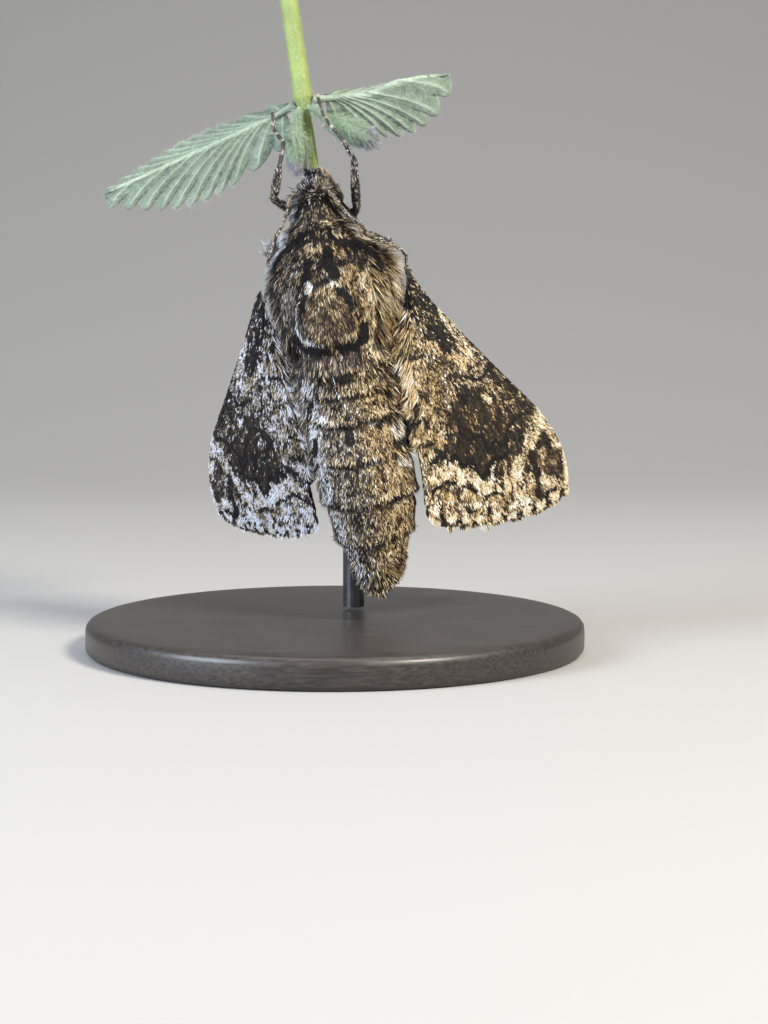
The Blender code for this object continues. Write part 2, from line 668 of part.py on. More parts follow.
def make_leaf(name, plan, carrier):
    """A crinkled, toothed mint leaf, folded along its midrib, with a short stalk."""
    base, tip = np.array(plan["base"], float), np.array(plan["tip"], float)
    length = np.linalg.norm(tip - base)
    axis = (tip - base) / length
    facing = np.array((0.0, -1.0, 0.0))
    upper = np.cross(axis, facing)
    upper = upper / np.linalg.norm(upper)
    if upper[2] < 0:
        upper = -upper
    facing = facing - axis * float(facing @ axis)
    facing = facing / np.linalg.norm(facing)
    teeth = plan["teeth"]
    stations = teeth * 2 + 1
    columns = (-1.0, -0.66, -0.33, -0.06, 0.06, 0.33, 0.66, 1.0)
    middle = []
    for i in range(stations):
        share = i / (stations - 1)
        crest = i % 2 == 1
        round_half = math.sin(math.pi * min(share * 0.86 + 0.13, 1.0)) ** 0.8
        half = plan["width"] * round_half * (1 - 0.25 * share)
        half = max(half, 0.34) + (LEAF_TOOTH if crest and 0 < share < 1 else 0.0)
        row = []
        for v in columns:
            slant = 0.16 * length * abs(v) * (1 - share) * ease(share, 0.0, 0.25)
            fold = math.radians(plan["folds"][0] if v > 0 else plan["folds"][1])
            out = half * v
            lift = (0.16 if crest else -0.10) * abs(v) ** 0.7 * (1 - share * 0.5)
            point = base + axis * (share * length + slant)
            point = point + upper * out * math.cos(fold) - facing * abs(out) * math.sin(fold)
            point = point + facing * lift + upper * plan["curl"] * ease(share, 0.75, 1.0)
            swell = LEAF_RIDGE if abs(v) < 0.1 else (LEAF_RIDGE * 0.6 if crest else 0.0)
            row.append((point, swell))
        middle.append(row)
    points = []
    for sign in (1, -1):
        for row in middle:
            for point, swell in row:
                points.append(point + facing * sign * (LEAF_THICK / 2 + (swell if sign > 0 else 0.0)))
    rows, width = stations, len(columns)
    other = rows * width
    faces = []
    for r in range(rows - 1):
        for c in range(width - 1):
            a = r * width + c
            for split in ((a, a + 1, a + width + 1), (a, a + width + 1, a + width)):
                faces.append(split)
                faces.append(tuple(other + k for k in reversed(split)))
    rim = ([(0, c) for c in range(width)] + [(r, width - 1) for r in range(1, rows)]
           + [(rows - 1, c) for c in range(width - 2, -1, -1)] + [(r, 0) for r in range(rows - 2, 0, -1)])
    loop = [r * width + c for r, c in rim]
    for a, b in zip(loop, loop[1:] + loop[:1]):
        faces.append((b, a, a + other))
        faces.append((b, a + other, b + other))
    way = np.array((math.copysign(1.0, axis[0]), 0.0, 0.0))
    stalk = stem_side(plan["stalk"], way)
    into = base + axis * 1.2
    shares = np.linspace(0, 1, 5)
    blade_stalk = tube([stalk + (into - stalk) * s for s in shares], [0.42, 0.38, 0.34, 0.3, 0.26], 8,
                       normal=way)
    fuse(name, [(points, faces), blade_stalk], "leaf_green", carrier)


# Buds in the leaf axils: place and way out of the stem, neck, tip, girth and number of lobes
BUDS = {
    "perch_bud_left": {"place": 16.5, "way": (-0.35, -0.94, 0.0), "neck": (-2.95, 6.0, 15.0),
                       "tip": (-3.3, 5.9, 10.4), "girth": 0.85, "lobes": 4},
    "perch_bud_right": {"place": 16.5, "way": (0.6, -0.8, 0.0), "neck": (-0.1, 6.5, 14.9),
                        "tip": (4.6, 6.9, 12.2), "girth": 0.95, "lobes": 4},
}


def make_bud(name, plan, carrier):
    """A short stalk with a bunch of small folded leaves that open towards the tip."""
    draw = random.Random(name)
    out, neck, tip = (np.array(plan[k], float) for k in ("way", "neck", "tip"))
    start = stem_side(plan["place"], out)
    way = (tip - neck) / np.linalg.norm(tip - neck)
    aside = np.cross(way, (0.0, 1.0, 0.0))
    aside = aside / np.linalg.norm(aside)
    across = np.cross(way, aside)
    length = np.linalg.norm(tip - neck)
    stalk_path = [start, (start + out * 0.4 + neck) / 2, neck + way * 0.8]
    pieces = [tube(stalk_path, (0.27, 0.27, 0.3), 8, normal=out)]
    for n in range(plan["lobes"]):
        turn = 2 * math.pi * n / plan["lobes"] + draw.uniform(-0.2, 0.2)
        lean = math.cos(turn) * aside + math.sin(turn) * across
        reach = length * draw.uniform(0.78, 1.0)
        path = []
        for s in (0.0, 0.25, 0.55, 0.82, 1.0):
            spread = 0.15 + 0.55 * math.sin(math.pi * min(s * 0.8, 1))
            path.append(neck + way * reach * s + lean * plan["girth"] * spread)
        pieces.append(tube(path, (0.28, 0.5, 0.52, 0.36, 0.12), 6))
    fuse(name, pieces, "bud_down", carrier)


def make_stand(carrier):
    """A round base and one rod whose slanted top meets the cut lower end of the stem."""
    profile = ((BASE_RADIUS - BASE_BEVEL / 2, 0.0), (BASE_RADIUS, BASE_BEVEL / 2),
               (BASE_RADIUS, BASE_THICK - BASE_BEVEL), (BASE_RADIUS - BASE_BEVEL, BASE_THICK))
    rings = [[np.array((r * math.cos(a), r * math.sin(a), z))
              for a in np.linspace(0, 2 * math.pi, BASE_SIDES, endpoint=False)] for r, z in profile]
    add_object("stand_base", *loft(rings), "stand_black")

    frame = carrier.matrix_world.to_3x3()
    stem_way = frame @ Vector((0.0, 0.0, 1.0))
    stem_end = frame @ Vector((STEM_SHIFT, STEM_DEPTH, STEM_END)) + Vector(MOTH_ORIGIN)
    meet = stem_end - stem_way * GAP
    low = BASE_THICK + GAP
    rings = []
    for share in (0.0, 0.5, 0.9, 1.0):
        ring = []
        for a in np.linspace(0, 2 * math.pi, ROD_SIDES, endpoint=False):
            x = ROD_RADIUS * math.cos(a)
            y = ROD_RADIUS * math.sin(a)
            top = meet.z - (x * stem_way.x + y * stem_way.y) / stem_way.z
            ring.append(np.array((meet.x + x, meet.y + y, low + (top - low) * share)))
        rings.append(ring)
    add_object("stand_rod", *loft(rings), "stand_black")


for old in list(bpy.data.objects):
    bpy.data.objects.remove(old)

moth = bpy.data.objects.new("moth_frame", None)
bpy.context.collection.objects.link(moth)
moth.location = Vector(MOTH_ORIGIN) * MM
moth.rotation_euler = (Matrix.Rotation(LEAN, 3, "Y") @ Matrix.Rotation(TURN, 3, "Z")).to_euler()
bpy.context.view_layer.update()

make_head(moth)
make_proboscis(moth)
make_thorax(moth)
make_abdomen(moth)
make_wings(moth)
make_antennae(moth)
for leg_name, leg_plan in LEGS.items():
    make_leg(leg_name, leg_plan, moth)
make_stem(moth)
for leaf_name, leaf_plan in LEAVES.items():
    make_leaf(leaf_name, leaf_plan, moth)
for bud_name, bud_plan in BUDS.items():
    make_bud(bud_name, bud_plan, moth)
make_stand(moth)
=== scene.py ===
"""Looks of the pawpaw sphinx moth on its mint sprig: skins, scale coats, leaves and stand."""

import heapq
import itertools
import math

import bmesh
import bpy
import numpy as np
from mathutils import Matrix, Vector
from mathutils.bvhtree import BVHTree


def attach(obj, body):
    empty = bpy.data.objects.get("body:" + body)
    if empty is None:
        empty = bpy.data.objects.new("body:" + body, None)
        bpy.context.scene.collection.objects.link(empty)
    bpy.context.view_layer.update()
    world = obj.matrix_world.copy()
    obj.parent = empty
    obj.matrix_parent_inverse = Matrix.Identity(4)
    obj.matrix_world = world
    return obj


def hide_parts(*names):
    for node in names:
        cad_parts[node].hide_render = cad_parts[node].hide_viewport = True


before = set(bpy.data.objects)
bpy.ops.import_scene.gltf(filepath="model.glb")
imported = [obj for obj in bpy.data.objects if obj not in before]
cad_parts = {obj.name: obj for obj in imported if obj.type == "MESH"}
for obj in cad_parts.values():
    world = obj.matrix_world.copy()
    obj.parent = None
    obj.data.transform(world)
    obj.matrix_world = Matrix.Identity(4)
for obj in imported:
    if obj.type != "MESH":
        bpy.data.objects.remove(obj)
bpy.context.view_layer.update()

# The viewer's place: the moth's back is seen from 22 cm away and a little above, so the camera
# looks along +Y and slightly down. The moth's own frame leans and turns as the moth does.
MM = 0.001
MOTH_ORIGIN = Vector((0.0, -3.0, 33.6)) * MM
LEAN = math.radians(-8.42)
TURN = math.radians(-13.5)
VIEW_FROM = Vector((4.5, -220.93, 2.68)) * MM
VIEW_PITCH = math.radians(84.0)
LENS = 85.9


def put_in_scene(name, data):
    """A new object that carries some data, in the scene."""
    thing = bpy.data.objects.new(name, data)
    bpy.context.collection.objects.link(thing)
    return thing


camera = put_in_scene("camera", bpy.data.cameras.new("camera"))
camera.data.lens = LENS
camera.data.clip_start = 0.01
camera.location = MOTH_ORIGIN + VIEW_FROM
camera.rotation_euler = (VIEW_PITCH, 0.0, 0.0)
bpy.context.scene.camera = camera
bpy.context.scene.view_settings.view_transform = "Standard"

# The studio: a pale paper floor that sweeps up into a backdrop, a warm key light from the right
# and a cool one from the left, like the daylight that falls on the moth.
SWEEP_START = 0.16
SWEEP_RADIUS = 0.30
STUDIO_HALF = 0.9
PAPER_COLOUR = (0.35, 0.347, 0.339, 1)
ROOM_COLOUR = (0.80, 0.82, 0.85, 1)
ROOM_LIGHT = 0.28


def area_light(name, place, size, power, colour):
    """A square soft light that faces the moth, with its place and size in mm."""
    light = put_in_scene(name, bpy.data.lights.new(name, "AREA"))
    light.data.size = size * MM
    light.data.energy = power
    light.data.color = colour
    light.location = Vector(place) * MM
    light.rotation_euler = (MOTH_ORIGIN - light.location).to_track_quat("-Z", "Y").to_euler()


def set_sockets(node, values):
    """Set some of a shader node's sockets by their names."""
    for socket, value in values.items():
        node.inputs[socket].default_value = value


def shader_material(name):
    """A new material with its nodes, its links and its main shader."""
    material = bpy.data.materials.new(name)
    material.use_nodes = True
    tree = material.node_tree
    return material, tree.nodes, tree.links, tree.nodes["Principled BSDF"]


area_light("key_light", place=(200, -190, 250), size=90, power=2.2, colour=(1.0, 0.93, 0.82))
area_light("cool_light", place=(-240, -150, 130), size=150, power=1.5, colour=(0.76, 0.85, 1.0))
area_light("top_light", place=(0, 60, 330), size=260, power=0.5, colour=(1.0, 1.0, 1.0))

bend = [(SWEEP_START + SWEEP_RADIUS * math.sin(a), SWEEP_RADIUS * (1 - math.cos(a)))
        for a in np.linspace(0, math.pi / 2, 24)]
profile = [(-STUDIO_HALF, 0.0), *bend, (SWEEP_START + SWEEP_RADIUS, STUDIO_HALF)]
sweep_points = [(x, y, z) for y, z in profile for x in (-STUDIO_HALF, STUDIO_HALF)]
sweep_faces = [(2 * i, 2 * i + 1, 2 * i + 3, 2 * i + 2) for i in range(len(profile) - 1)]
sweep_mesh = bpy.data.meshes.new("backdrop")
sweep_mesh.from_pydata(sweep_points, [], sweep_faces)
sweep_mesh.polygons.foreach_set("use_smooth", [True] * len(sweep_faces))
backdrop = put_in_scene("backdrop", sweep_mesh)
paper, _, _, paper_shader = shader_material("pale_paper")
set_sockets(paper_shader, {"Base Color": PAPER_COLOUR, "Roughness": 0.9})
backdrop.data.materials.append(paper)
world = bpy.data.worlds.new("room")
world.use_nodes = True
set_sockets(world.node_tree.nodes["Background"], {"Color": ROOM_COLOUR, "Strength": ROOM_LIGHT})
bpy.context.scene.world = world

# Trunk skin: head, thorax and abdomen grown together over their narrow gaps, then drawn in by
# the depth of the fur. Its markings are mixes of seven scale colours in the moth's own frame:
# u runs in mm round the back to the moth's right, z in mm to its head.
MOTH_AXES = np.array((Matrix.Rotation(LEAN, 3, "Y") @ Matrix.Rotation(TURN, 3, "Z")))
MOTH_PLACE = np.array(MOTH_ORIGIN)
WELD = 0.0005
BACK_RADIUS = 4.6
EDGE_BULGE = 0.7
SEGMENT_EDGES = (-7.1, -9.1, -11.7, -15.3, -19.2, -22.8)
# Soft edges along the trunk, and round it for the belly
WAIST = (-6.6, -5.6)
PLAIN_RINGS = (-9.4, -8.8)
NECK = (5.9, 6.4)
BROW = (7.9, 8.7)
FIRST_RING = (-6.6, -6.2)
FIRST_SWELLING = (-6.4, -6.0)
BELLY_ANGLE = (1.9, 2.3)
BULGE_START = (1.5, 5.0)
# Soft edges of the pale rim and of the dark line, painted crease shadow, at each ring's rear edge, and
# height, place and width of its swelling and crease
PALE_RIM = ((-0.38, -0.25), (-0.06, 0.0))
PAINTED_CREASE_SHADOW = ((-0.03, 0.03), (0.2, 0.34))
SWELLING = (0.1, -0.45, 0.4)
CREASE = (-0.2, 0.12, 0.19)
# The feelers lie above one place and in front of another, and other points count as far off
FEELERS_ABOVE = 1.0
FEELERS_BEFORE = 2.5
FAR_OFF = 9.0
# Skins are painted darker than their coats' colours: painted shade under the fur and scales
SKIN_PAINTED_SHADE = 0.5
PALETTE = np.array((
    (0.008, 0.007, 0.008),  # ink
    (0.030, 0.024, 0.016),  # umber
    (0.092, 0.066, 0.044),  # brown
    (0.33, 0.240, 0.120),  # gold
    (0.60, 0.505, 0.350),  # cream
    (0.76, 0.77, 0.78),  # chalk
    (0.175, 0.150, 0.148),  # ash
))
# Shares of ink, umber, brown, gold, cream, chalk and ash in each part of the pattern
BLACK = (97, 3, 0, 0, 0, 0)
SOOT = (80, 14, 2, 2, 1, 1)
FLECKED = (55, 21, 8, 7, 3, 0, 6)
UMBER = (26, 28, 17, 8, 7, 1, 13)
SPECKLED = (34, 18, 9, 13, 13, 4, 9)
GOLDEN = (21, 16, 13, 32, 17, 1)
TAWNY = (9, 12, 15, 26, 34, 4)
CREAMY = (9, 9, 7, 8, 50, 17)
WHITE = (7, 7, 3, 1, 15, 64, 3)
SILVER = (24, 14, 5, 1, 12, 31, 13)
BELLY = (5, 15, 30, 12, 28, 10)
HEAD_GREY = (44, 27, 3, 0, 0, 7, 19)
# Marks are strokes: points (u, z), half width and recipe, with later strokes over earlier ones
# Several left strokes are silver or white where the matching right ones are cream or gold: partly the moth's
# own colours and partly painted cool light on the left and painted warm light on the right
TRUNK_MARKS = (
    # Grounds of the collar, the shoulders and the shield
    (((-5.5, 5.4), (0.0, 5.9), (5.0, 4.8)), 0.4, (56, 20, 6, 9, 5, 0, 4)),
    (((-3.4, 6.3), (0.0, 6.75), (3.2, 6.2)), 0.1, (30, 26, 14, 18, 12, 0)),
    (((-2.8, 1.6), (-3.6, -1.5), (-3.8, -3.8)), 0.9, UMBER),
    (((2.6, 0.6), (3.8, -1.0), (4.4, -2.9), (4.8, -4.4)), 1.0, GOLDEN),
    (((3.4, -0.4), (4.2, -2.6)), 0.35, TAWNY),
    (((0.2, -1.5), (0.2, -3.6)), 1.7, (14, 26, 32, 20, 8, 0)),
    # Black collar, and the pale flecks around it
    (((-4.5, 2.4), (-4.2, 3.5), (-2.1, 4.55), (-0.9, 4.95)), 0.36, BLACK),
    (((-0.9, 4.95), (-0.2, 5.1), (0.9, 4.7), (1.6, 4.3)), 0.2, SOOT),
    (((1.4, 4.4), (2.4, 3.8), (4.4, 2.9), (4.9, 1.9), (4.8, 0.9)), 0.4, BLACK),
    (((0.2, 5.75), (1.7, 5.35)), 0.18, TAWNY),
    (((1.8, 4.55), (3.5, 4.15)), 0.17, CREAMY),
    (((-1.3, 3.4), (0.8, 3.2), (2.2, 2.6)), 0.35, (20, 22, 16, 24, 18, 0)),
    (((4.0, 4.9), (4.9, 4.0)), 0.2, SILVER),
    # Pale rims and spots of the shoulders
    (((5.2, 4.4), (6.5, 3.0), (7.4, 1.4), (7.7, -0.2)), 0.55, (10, 7, 4, 4, 42, 33)),
    (((5.6, 0.6), (6.3, 0.2)), 0.34, CREAMY),
    (((5.4, -0.4), (5.2, -1.4)), 0.5, TAWNY),
    (((5.7, -2.0), (5.9, -2.8)), 0.5, CREAMY),
    (((-4.6, 4.6), (-5.8, 3.2), (-6.3, 0.8), (-6.1, -2.6)), 0.55, SILVER),
    (((-5.3, 4.4), (-6.6, 2.8), (-7.1, 0.6), (-6.8, -2.0)), 0.6, WHITE),
    # Black and white spots on the back of the thorax
    (((-0.9, 2.2), (-1.25, 0.8)), 0.36, BLACK),
    (((1.0, 2.9), (0.8, 2.0), (1.3, 0.8)), 0.45, BLACK),
    (((1.5, -0.4), (1.9, -1.2)), 0.34, BLACK),
    (((-1.4, -0.4), (-1.7, -1.7)), 0.26, BLACK),
    (((1.9, -1.6), (2.3, -2.5), (2.6, -3.1)), 0.18, SOOT),
    (((-1.1, 0.15), (-1.15, -0.1)), 0.36, (12, 8, 3, 0, 27, 50)),
    (((0.9, 0.1), (1.4, 0.05)), 0.32, (12, 8, 6, 8, 50, 16)),
    # Pale rim of the shield, the black arcs behind it and the spots beside them
    (((-1.8, -0.8), (-2.2, -1.4), (-2.9, -3.0)), 0.1, SILVER),
    (((-2.9, -3.4), (-2.5, -4.3), (-1.8, -4.75)), 0.17, WHITE),
    (((-1.5, -4.9), (-0.5, -5.0)), 0.13, SILVER),
    (((2.5, -4.1), (2.0, -4.7), (0.9, -5.0)), 0.12, TAWNY),
    (((2.2, -3.75), (2.8, -3.4)), 0.14, (0, 0, 4, 96, 0, 0)),
    (((-3.3, -4.2), (-2.9, -5.0), (-1.6, -5.55), (-0.3, -5.65)), 0.34, BLACK),
    (((0.75, -5.6), (2.1, -5.55), (2.95, -4.95), (3.05, -3.8)), 0.38, BLACK),
    (((0.2, -5.5), (0.25, -6.0)), 0.2, GOLDEN),
    (((3.5, -5.6), (4.0, -6.6)), 0.42, CREAMY),
    (((6.3, -0.8), (6.5, -1.6)), 0.55, CREAMY),
    # Rings: first band, paler flanks, midline spots and white and black side spots
    (((-2.0, -7.9), (0.0, -8.3), (2.4, -8.2)), 0.5, (44, 34, 10, 2, 8, 2)),
    (((2.6, -9.0), (3.4, -14.0), (3.6, -21.0), (2.4, -25.5)), 1.3, GOLDEN),
    (((-3.4, -9.0), (-3.8, -14.0), (-3.6, -21.0), (-2.6, -25.5)), 1.0, SILVER),
    (((0.4, -12.2), (0.4, -13.9)), 0.5, SOOT),
    (((0.2, -16.2), (0.1, -18.4)), 0.55, FLECKED),
    (((-0.2, -20.1), (-0.3, -21.9)), 0.45, FLECKED),
    (((-0.3, -24.2), (-0.3, -25.4)), 0.4, FLECKED),
    (((2.4, -12.4), (3.0, -12.5)), 0.26, WHITE),
    (((2.1, -16.2), (2.7, -16.0)), 0.22, WHITE),
    (((-2.5, -11.2), (-1.7, -12.0)), 0.2, WHITE),
    (((-2.7, -15.9), (-2.3, -16.2)), 0.2, WHITE),
    (((3.4, -12.8), (4.8, -12.1), (5.7, -11.5)), 0.26, BLACK),
    (((5.0, -13.5), (5.8, -13.4)), 0.62, WHITE),
    (((5.0, -14.7), (6.0, -14.9)), 0.55, SOOT),
    (((5.2, -16.3), (6.8, -16.4)), 0.5, WHITE),
    (((3.2, -20.0), (4.6, -19.5)), 0.16, BLACK),
    (((-3.6, -10.2), (-3.9, -11.4)), 0.5, SOOT),
    (((-3.6, -12.5), (-4.2, -12.9)), 0.5, WHITE),
    (((-3.7, -13.7), (-4.2, -14.6)), 0.42, BLACK),
    (((-3.3, -15.8), (-4.0, -16.2)), 0.42, WHITE),
    (((-3.4, -19.4), (-1.9, -19.8)), 0.14, BLACK),
    # Neck and head
    (((-1.4, 7.62), (-1.4, 7.58)), 0.15, WHITE),
    (((-0.2, 8.9), (1.4, 8.9), (2.6, 8.0), (3.2, 7.0)), 0.2, (16, 14, 8, 2, 26, 10, 24)),
    (((1.0, 7.0), (2.6, 6.5)), 0.1, GOLDEN),
    (((-4.6, 9.2), (-4.4, 7.6), (-5.0, 6.2)), 0.5, SILVER),
    (((4.4, 9.0), (4.2, 7.6), (4.6, 6.2)), 0.4, (18, 16, 8, 2, 22, 8, 26)),
)


def to_moth(points):
    """World metres to mm in the moth's frame."""
    return (points - MOTH_PLACE) @ MOTH_AXES / MM


def solid_points(node):
    """The points of a node's solid, in world metres."""
    solid = bpy.data.objects[node]
    return np.array([solid.matrix_world @ v.co for v in solid.data.vertices])


feeler_trees = []
for node in ("antenna_left", "antenna_right"):
    faces = [tuple(f.vertices) for f in bpy.data.objects[node].data.polygons]
    feeler_trees.append(BVHTree.FromPolygons(to_moth(solid_points(node)).tolist(), faces))


def feeler_gap(p):
    """Distance in mm from points in the moth's frame to the feeler that lies nearer."""
    gap = np.full(len(p), FAR_OFF)
    for k in np.flatnonzero((p[:, 2] > FEELERS_ABOVE) & (p[:, 1] < FEELERS_BEFORE)):
        gap[k] = min(tree.find_nearest(Vector(p[k]))[3] for tree in feeler_trees)
    return gap


def soft_step(value, low, high):
    """0 below the low place and 1 above the high one, with a soft rise between them."""
    t = np.clip((value - low) / (high - low), 0.0, 1.0)
    return t * t * (3 - 2 * t)


def between(value, rise, fall):
    """1 between two soft edges and 0 beyond them, each edge given by its two ends."""
    return soft_step(value, *rise) * (1 - soft_step(value, *fall))


def hump(value, height, middle, width):
    """A smooth rise to a height around a middle place."""
    return height * np.exp(-((value - middle) / width) ** 2)


def near_path(u, v, path, half_width, soft=0.06):
    """1 on a painted line through the points and 0 away from it."""
    nearest = np.full(len(u), np.inf)
    for (u0, v0), (u1, v1) in zip(path[:-1], path[1:]):
        du, dv = u1 - u0, v1 - v0
        t = np.clip(((u - u0) * du + (v - v0) * dv) / (du * du + dv * dv), 0.0, 1.0)
        nearest = np.minimum(nearest, np.hypot(u - u0 - t * du, v - v0 - t * dv))
    return 1 - soft_step(nearest, half_width - soft, half_width + soft)


def ripple(u, v, seed):
    """Smooth random values from 0 to 1 over the plane, with one lattice cell to a unit."""
    lattice = np.random.default_rng(seed).random((64, 64))
    i, j = np.floor(u).astype(int), np.floor(v).astype(int)
    fu, fv = soft_step(u - i, 0, 1), soft_step(v - j, 0, 1)
    low = lattice[i % 64, j % 64] * (1 - fu) + lattice[(i + 1) % 64, j % 64] * fu
    high = lattice[i % 64, (j + 1) % 64] * (1 - fu) + lattice[(i + 1) % 64, (j + 1) % 64] * fu
    return low * (1 - fv) + high * fv


def mix_in(mix, share, recipe):
    """Turn each row of colour shares towards a recipe by its own amount."""
    whole = np.zeros(mix.shape[1])
    whole[:len(recipe)] = np.array(recipe) / sum(recipe)
    return mix + (whole - mix) * share[:, None]


def plain_mix(count, recipe):
    """The shares of one recipe for a number of points."""
    return mix_in(np.zeros((count, len(PALETTE))), np.ones(count), recipe)


def back_place(p):
    """Place round the back in mm, angle from its middle, and place along it, of moth points."""
    angle = np.arctan2(p[:, 0] - 0.1, -p[:, 1])
    return angle * BACK_RADIUS, angle, p[:, 2]


def ring_place(p):
    """Place along the trunk of points, with the curved rear edges of its rings made straight."""
    angle = back_place(p)[1]
    return p[:, 2] + EDGE_BULGE * np.cos(angle) ** 2 * soft_step(-p[:, 2], *BULGE_START)


def behind_edge(p):
    """Distance of points behind the nearest rear edge of a ring, below 0 in front of it."""
    apart = np.array(SEGMENT_EDGES)[None, :] - ring_place(p)[:, None]
    return apart[np.arange(len(p)), np.argmin(np.abs(apart), axis=1)]


def trunk_mix(p):
    """Shares of the palette's colours at points of the trunk."""
    u, angle, z = back_place(p)
    behind = behind_edge(p)
    u = u + 0.16 * (ripple(u * 2.1, z * 2.1, 3) - 0.5)
    z = z + 0.42 * (ripple(u * 3.8, z * 0.9, 4) - 0.5)
    plain = 1 - soft_step(z, *PLAIN_RINGS)
    mix = plain_mix(len(p), FLECKED)
    mix = mix_in(mix, 0.55 * soft_step(u, 1.5, 4.0) * (1 - soft_step(z, 0.0, 2.5)), GOLDEN)
    mix = mix_in(mix, 1 - soft_step(z, *WAIST), UMBER)
    mix = mix_in(mix, plain, SPECKLED)
    mix = mix_in(mix, 0.7 * soft_step(u, 0.5, 3.5) * plain, GOLDEN)
    mix = mix_in(mix, soft_step(z, *NECK), SOOT)
    mix = mix_in(mix, soft_step(z, *BROW), HEAD_GREY)
    for path, half_width, recipe in TRUNK_MARKS:
        mix = mix_in(mix, near_path(u, z, path, half_width), recipe)
    on_rings = 1 - soft_step(p[:, 2], *FIRST_RING)
    broken = soft_step(ripple(u * 0.9, z * 0.35, 5), 0.25, 0.75)
    mix = mix_in(mix, 0.75 * between(behind, *PALE_RIM) * on_rings * broken, TAWNY)
    # Painted shadow in the crease behind each ring's rear edge, deeper in the middle and on the right
    crease_shadow_depth = 0.4 + 0.55 * broken * soft_step(u, -4.5, 0.5)
    mix = mix_in(mix, between(behind, *PAINTED_CREASE_SHADOW) * on_rings * crease_shadow_depth, SOOT)
    mix = mix_in(mix, soft_step(np.abs(angle), *BELLY_ANGLE), BELLY)
    beside = 1 - soft_step(feeler_gap(p), 0.35, 0.75)
    # Pale scales beside the feelers: tawny on the right and silver on the left, partly painted warm and cool
    # light
    right, left = mix_in(mix, 0.6 * beside, TAWNY), mix_in(mix, 0.75 * beside, SILVER)
    return np.where((u > 0)[:, None], right, left)


def mesh_arrays(mesh):
    """Points, their normals and the corners of the triangles of a mesh."""
    points = np.empty(len(mesh.vertices) * 3, np.float32)
    mesh.vertices.foreach_get("co", points)
    normals = np.empty(len(mesh.vertices) * 3, np.float32)
    mesh.vertex_normals.foreach_get("vector", normals)
    mesh.calc_loop_triangles()
    corners = np.empty(len(mesh.loop_triangles) * 3, np.int32)
    mesh.loop_triangles.foreach_get("vertices", corners)
    return (points.reshape(-1, 3).astype(float), normals.reshape(-1, 3).astype(float), corners.reshape(-1, 3))


def settle(piece):
    """Keep the shape that a piece's modifiers give, as its own mesh."""
    bpy.context.view_layer.update()
    shaped = bpy.data.meshes.new_from_object(piece.evaluated_get(bpy.context.evaluated_depsgraph_get()))
    piece.modifiers.clear()
    piece.data = shaped
    shaped.polygons.foreach_set("use_smooth", [True] * len(shaped.polygons))
    return piece


def world_copy(name, nodes, growth=0.0):
    """The solids of some nodes joined in one new object, in mm, their faces moved out by a growth."""
    shaped = bmesh.new()
    for node in nodes:
        part = bpy.data.objects[node].data.copy()
        part.transform(Matrix.Scale(1 / MM, 4) @ bpy.data.objects[node].matrix_world)
        shaped.from_mesh(part)
        bpy.data.meshes.remove(part)
    bmesh.ops.remove_doubles(shaped, verts=shaped.verts, dist=WELD)
    shaped.normal_update()
    for vertex in shaped.verts:
        vertex.co += vertex.normal * growth
    mesh = bpy.data.meshes.new(name)
    shaped.to_mesh(mesh)
    shaped.free()
    return put_in_scene(name, mesh)


def drop_scraps(mesh):
    """Keep only the largest surface of a skin."""
    shaped = bmesh.new()
    shaped.from_mesh(mesh)
    left = set(shaped.verts)
    surfaces = []
    while left:
        front = [left.pop()]
        surface = list(front)
        while front:
            for edge in front.pop().link_edges:
                for vertex in edge.verts:
                    if vertex in left:
                        left.discard(vertex)
                        front.append(vertex)
                        surface.append(vertex)
        surfaces.append(surface)
    surfaces.sort(key=len)
    for surface in surfaces[:-1]:
        bmesh.ops.delete(shaped, geom=surface, context="VERTS")
    shaped.to_mesh(mesh)
    shaped.free()


def grown_skin(name, nodes, voxel, depth, growth=0.0, rounds=4):
    """One smooth closed skin for some solids, lying inside them by a depth; sizes in mm."""
    skin = world_copy(name, nodes, growth)
    cells = skin.modifiers.new("cells", "REMESH")
    cells.mode = "VOXEL"
    cells.voxel_size = voxel
    soften = skin.modifiers.new("soften", "SMOOTH")
    soften.iterations = rounds
    inset = skin.modifiers.new("inset", "DISPLACE")
    inset.mid_level = 0.0
    inset.strength = -(growth + depth)
    settle(skin)
    drop_scraps(skin.data)
    skin.data.transform(Matrix.Scale(MM, 4))
    return skin


def paint(mesh, colours):
    """Keep a colour for each point of a mesh in its attribute called tint."""
    layer = mesh.color_attributes.new("tint", "FLOAT_COLOR", "POINT")
    opaque = np.column_stack((colours, np.ones(len(colours))))
    layer.data.foreach_set("color", opaque.astype(np.float32).ravel())


def add_node(nodes, kind, values=None):
    """A new shader node with some of its sockets set."""
    node = nodes.new(kind)
    set_sockets(node, values or {})
    return node


def wire(links, *joints):
    """Link shader nodes: each joint is a node, its output, another node and that one's input."""
    for start, output, end, socket in joints:
        links.new(start.outputs[output], end.inputs[socket])


